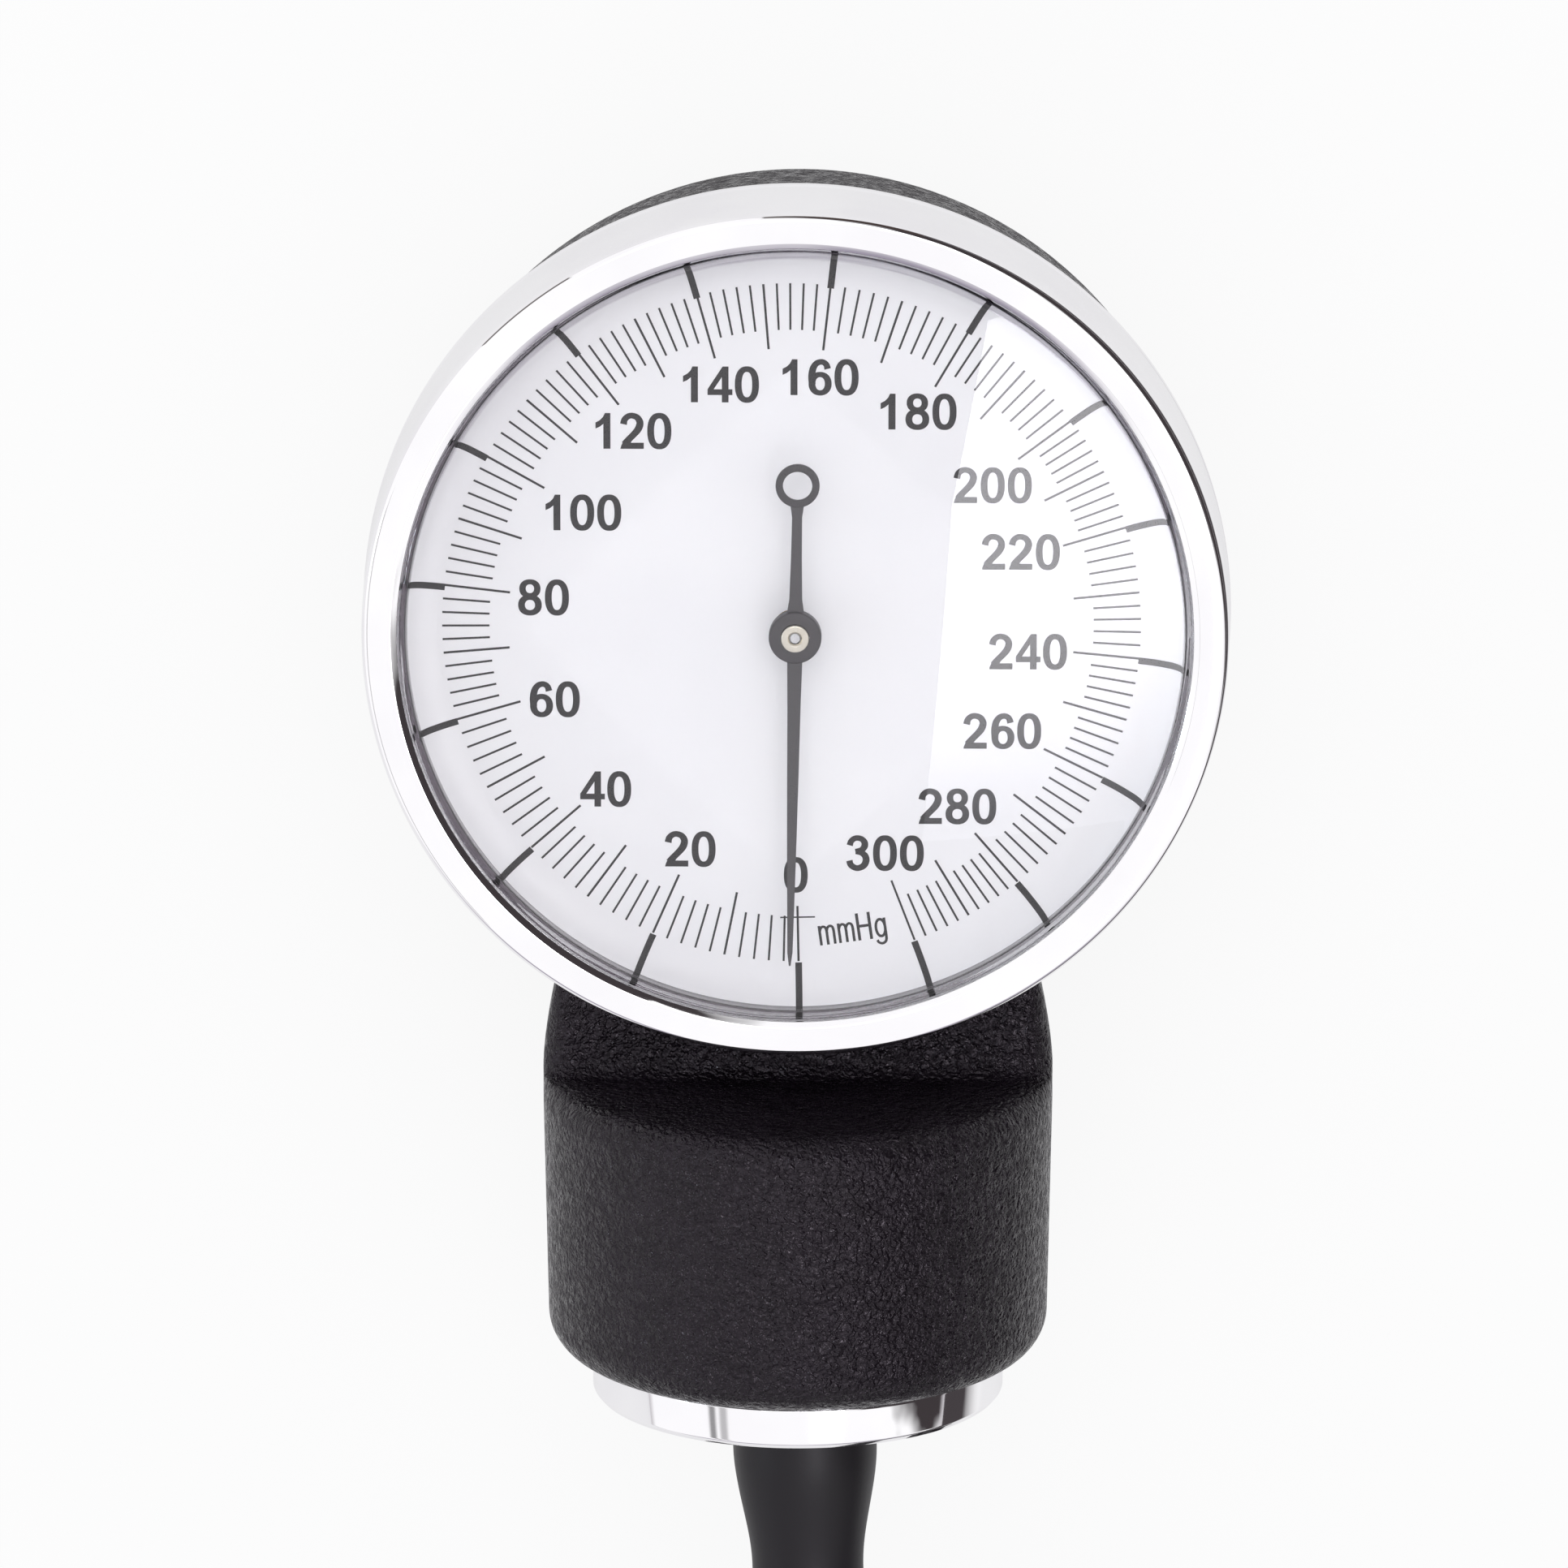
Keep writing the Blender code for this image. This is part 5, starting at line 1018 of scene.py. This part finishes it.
def make_cap():
    """Chromed disc that closes the base, with a spigot that reaches inside."""
    low = CAP_FACE / MM
    top = low + 3.0
    outline = filleted([
        (2.35, low, 0), (14.2, low, 0), (14.5, low + 0.35, 0.3), (14.5, top, 0.35), (13.55, top, 0),
        (13.55, top + 1.35, 0), (12.65, top + 1.35, 0), (12.65, top + 2.25, 0), (13.55, top + 2.25, 0),
        (13.55, top + 3.6, 0), (11.75, top + 3.6, 0), (11.75, top + 1.1, 0), (4.2, top + 1.1, 0),
        (4.2, top + 2.2, 0), (2.35, top + 2.2, 0)], 6)
    dressed("base_cap_disc", mesh_of(laid(turned(outline, 224))), CHROME,
            replaced=["base_cap"], sharp=38)


# Clip on the back

CLIP_TOP = 5.15 * MM
SCREW_ASIDE = 3.7 * MM
SCREW_Y = DIAL_Y - 13.6 * MM


def make_clip():
    """A sprung strip: a plate under the drum, a bend at its top and a tongue along the surface."""
    outer, inner = 2.975 * MM, 2.175 * MM
    bend = 15.0 * MM - outer
    outline = [(-17.0 * MM, CLIP_TOP), (-17.0 * MM, 5.95 * MM)]
    outline += arc((bend, outer), outer, pi / 2, -pi / 2, 28)
    outline += [(-6.5 * MM, 0), (-8.0 * MM, 0.15 * MM), (-8.0 * MM, 0.55 * MM), (-7.0 * MM, 0.8 * MM)]
    outline += arc((bend, outer), inner, -pi / 2, pi / 2, 28)
    shape = plate(outline[::-1], -6.0 * MM, 6.0 * MM)
    shape.transform(Matrix(((0, 0, 1), (1, 0, 0), (0, 1, 0))).to_4x4())
    mesh = combined(moved(shape, (0, DIAL_Y, 0)), [
        (CUT, moved(rod(0.9 * MM, 4.0 * MM, 7.0 * MM, 40), (side * SCREW_ASIDE, SCREW_Y, 0)))
        for side in (-1, 1)])
    clip = dressed("clip_strip", mesh, CHROME, replaced=["cuff_clip"], sharp=35)
    bevelled(clip, 0.14 * MM, 3)
    for number, side in enumerate((-1, 1), 1):
        outline = filleted([
            (0, -2.6, 0), (0.8, -2.6, 0.1), (0.8, 0.05, 0), (1.5, 0.05, 0.06), (1.5, 0.85, 0.22),
            (0, 0.85, 0)], 4)
        slot = block((0, 0, 0.95 * MM), (5.0 * MM, 0.45 * MM, 1.0 * MM))
        mesh = combined(turned(outline, 64), [(CUT, slot)])
        turn = Matrix.Rotation(pi, 3, "X").to_quaternion()
        dressed(f"clip_fastener_{number}", mesh, STEEL, replaced=[f"clip_screw_{number}"],
                at=(side * SCREW_ASIDE, SCREW_Y, CLIP_TOP), turn=turn)


# Solids that stay as they are

KEPT = {
    BRASS: ("back_plate", "front_plate", "pillar_1", "pillar_2", "pillar_3", "hairspring_collet",
            "hairspring_stud", "sector_gear", "pinion", "rod_guide"),
    STEEL: ("plate_screw_1", "plate_screw_2", "plate_screw_3", "movement_screw_1", "movement_screw_2",
            "movement_screw_3", "pointer_arbor", "sector_arbor", "push_rod"),
    BRONZE: ("hairspring", "upper_diaphragm", "lower_diaphragm"),
    SEAL: ("base_seal",),
    CHROME: ("barbed_stem",),
}


def finish_kept():
    """Gives the solids inside the case, and the stem, their metals and rubber."""
    for finish, names in KEPT.items():
        for name in names:
            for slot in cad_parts[name].material_slots:
                slot.material = finish


# Floor, shade cards and light

def card(name, corners, finish):
    """A flat stage card."""
    shape = bmesh.new()
    shape.faces.new([shape.verts.new(corner) for corner in corners])
    mesh = bpy.data.meshes.new(name)
    shape.to_mesh(mesh)
    shape.free()
    mesh.materials.append(finish)
    made = placed(name, mesh)
    return made


# The room is dark on one side, which only the chrome shows
DARK_SIDE = (0.82, 0.57, 0.0)


def make_floor():
    """White paper. The chrome mirrors it as white near the head and dark farther off to the right."""
    look = Finish("white_floor")
    seen = look.ray("Camera") + look.ray("Transmission")
    mirrored = look.ray("Glossy")
    away = look.part(look.node("TexCoord", out="Object"), 0)
    edge = away + look.noise(look.places(), 25.0) * (12 * MM)
    mirror = look.between(edge.ramp(56 * MM, 100 * MM), (0.97, 0.965, 0.975), (0.06, 0.052, 0.056))
    grain = look.noise(look.places(), 30.0)
    paper = look.between(grain, (0.93, 0.93, 0.935), (0.95, 0.95, 0.955))
    lit = look.node("BsdfDiffuse", {}, {"Color": paper})
    white = look.glow(look.between(mirrored, (1, 1, 1), mirror), 1.03)
    share = (seen > 0.5) * 0.86 + mirrored * edge.ramp(50 * MM, 70 * MM, 0.62, 1.0)
    finish = look.out(look.mixed(share, lit, white))
    size = 3.0
    card("floor", [(-size, -size, 0), (size, -size, 0), (size, size, 0), (-size, size, 0)], finish)


def upright(start, end, low, high):
    """Corners of an upright card that stands over a line on the floor."""
    return [(*start, low), (*end, low), (*end, high), (*start, high)]


def make_cards():
    """What lens and chrome mirror: a lamp stand, a soft box over the dial, a flash and two far shades."""
    look = Finish("stand")
    height = look.part(look.node("TexCoord", out="Object"), 2)
    low = height.ramp(0.274, 0.29) * height.ramp(0.31, 0.328, 1.0, 0.0)
    high = height.ramp(0.335, 0.355) * height.ramp(0.385, 0.412, 1.0, 0.0)
    clear = look.node("BsdfTransparent")
    stand = look.out(look.mixed(low * 0.72 + high * 0.5, clear, look.glow((0.03, 0.025, 0.03))))
    look = Finish("soft_box")
    along = look.part(look.node("TexCoord", out="Object"), 1)
    bright = look.glow(look.between(along.ramp(-0.34, -0.14), (0.2, 0.2, 0.21), (0.97, 0.96, 1.0)), 10.0)
    box = look.out(look.mixed(look.ray("Transmission"), bright, look.node("BsdfTransparent")))
    look = Finish("shade")
    height = look.part(look.node("TexCoord", out="Object"), 2)
    soft = height.ramp(0.0, 0.04) * height.ramp(0.16, 0.24, 1.0, 0.0) * 0.9
    shade = look.out(look.mixed(soft, look.node("BsdfTransparent"), look.glow((0.07, 0.05, 0.045))))
    look = Finish("left_flash")
    flash = look.out(look.glow((0.82, 0.93, 1.0), 45.0))
    cards = [
        card("left_flash", [(-0.776, -0.075, 0.449), (-0.776, 0.035, 0.449), (-0.724, 0.035, 0.351),
                            (-0.724, -0.075, 0.351)], flash),
        card("stand", upright((-0.3, -0.4), (-0.3, 0.02), 0.27, 0.42), stand),
        card("soft_box", [(0.155, 0.13, 0.75), (0.36, 0.13, 0.75), (0.36, -0.36, 0.75), (0.1, -0.36, 0.75),
                          (0.12, -0.04, 0.75)], box),
        card("shade_1", upright((-0.05, 0.48), (0.16, 0.45), 0.0, 0.24), shade),
        card("shade_2", upright((-0.41, 0.29), (-0.31, 0.4), 0.0, 0.24), shade),
    ]
    for made in cards:
        made.visible_camera = False
        made.visible_shadow = False
        made.visible_diffuse = False
        made.visible_transmission = False


def make_world():
    """A bright room, with its own tone for what is seen, mirrored, lit and seen through the lens."""
    world = bpy.data.worlds.new("studio")
    bpy.context.scene.world = world
    look = Finish("studio", world)
    way = look.node("TexCoord", out="Generated")
    toward = look.node("VectorMath", {"operation": "DOT_PRODUCT"}, {0: way, 1: DARK_SIDE}, out="Value")
    uneven = look.node("TexNoise", {}, {"Vector": way, "Scale": 3.4, "Detail": 2.0})
    edge = (toward + (uneven - 0.5) * 0.45).ramp(0.44, 0.6)
    tone = look.between(edge, (1.04, 1.035, 1.045), (0.05, 0.042, 0.045))
    up = look.part(way, 2)
    far = look.part(way, 1).ramp(-0.85, -0.6, 1.0, 0.0) * (up + uneven * 0.3).ramp(0.35, 0.6, 1.0, 0.0)
    tone = look.between(far, tone, (0.36, 0.33, 0.4))
    mirrored = look.between(up.ramp(0.0, 0.05), (0.6, 0.58, 0.6), tone)
    colour = look.between(look.ray("Glossy"), (0.6, 0.6, 0.61), mirrored)
    colour = look.between(look.ray("Transmission"), colour, (0.81, 0.805, 0.825))
    colour = look.between(look.ray("Camera"), colour, (1, 1, 1))
    look.node("OutputWorld", {}, {"Surface": look.node("Background", {}, {"Color": colour, "Strength": 1.0})})


def make_lamp():
    """One large lamp, high above the head's upper side."""
    light = bpy.data.lights.new("top_light", "AREA")
    light.shape = "RECTANGLE"
    light.size, light.size_y = 0.7, 0.5
    light.energy = 1.5
    made = placed("top_light", light)
    made.location = (0, 0.5, 0.9)
    aim = Vector((0, DIAL_Y, BEZEL_FRONT))
    made.rotation_euler = (aim - made.location).to_track_quat("-Z", "Y").to_euler()


set_camera()
make_hose()
make_case()
make_bezel()
make_gasket()
make_lens()
make_dial()
make_scale()
make_figures()
make_pointer()
make_cap()
make_clip()
finish_kept()
make_floor()
make_cards()
make_world()
make_lamp()
bpy.context.scene.view_settings.view_transform = "Standard"
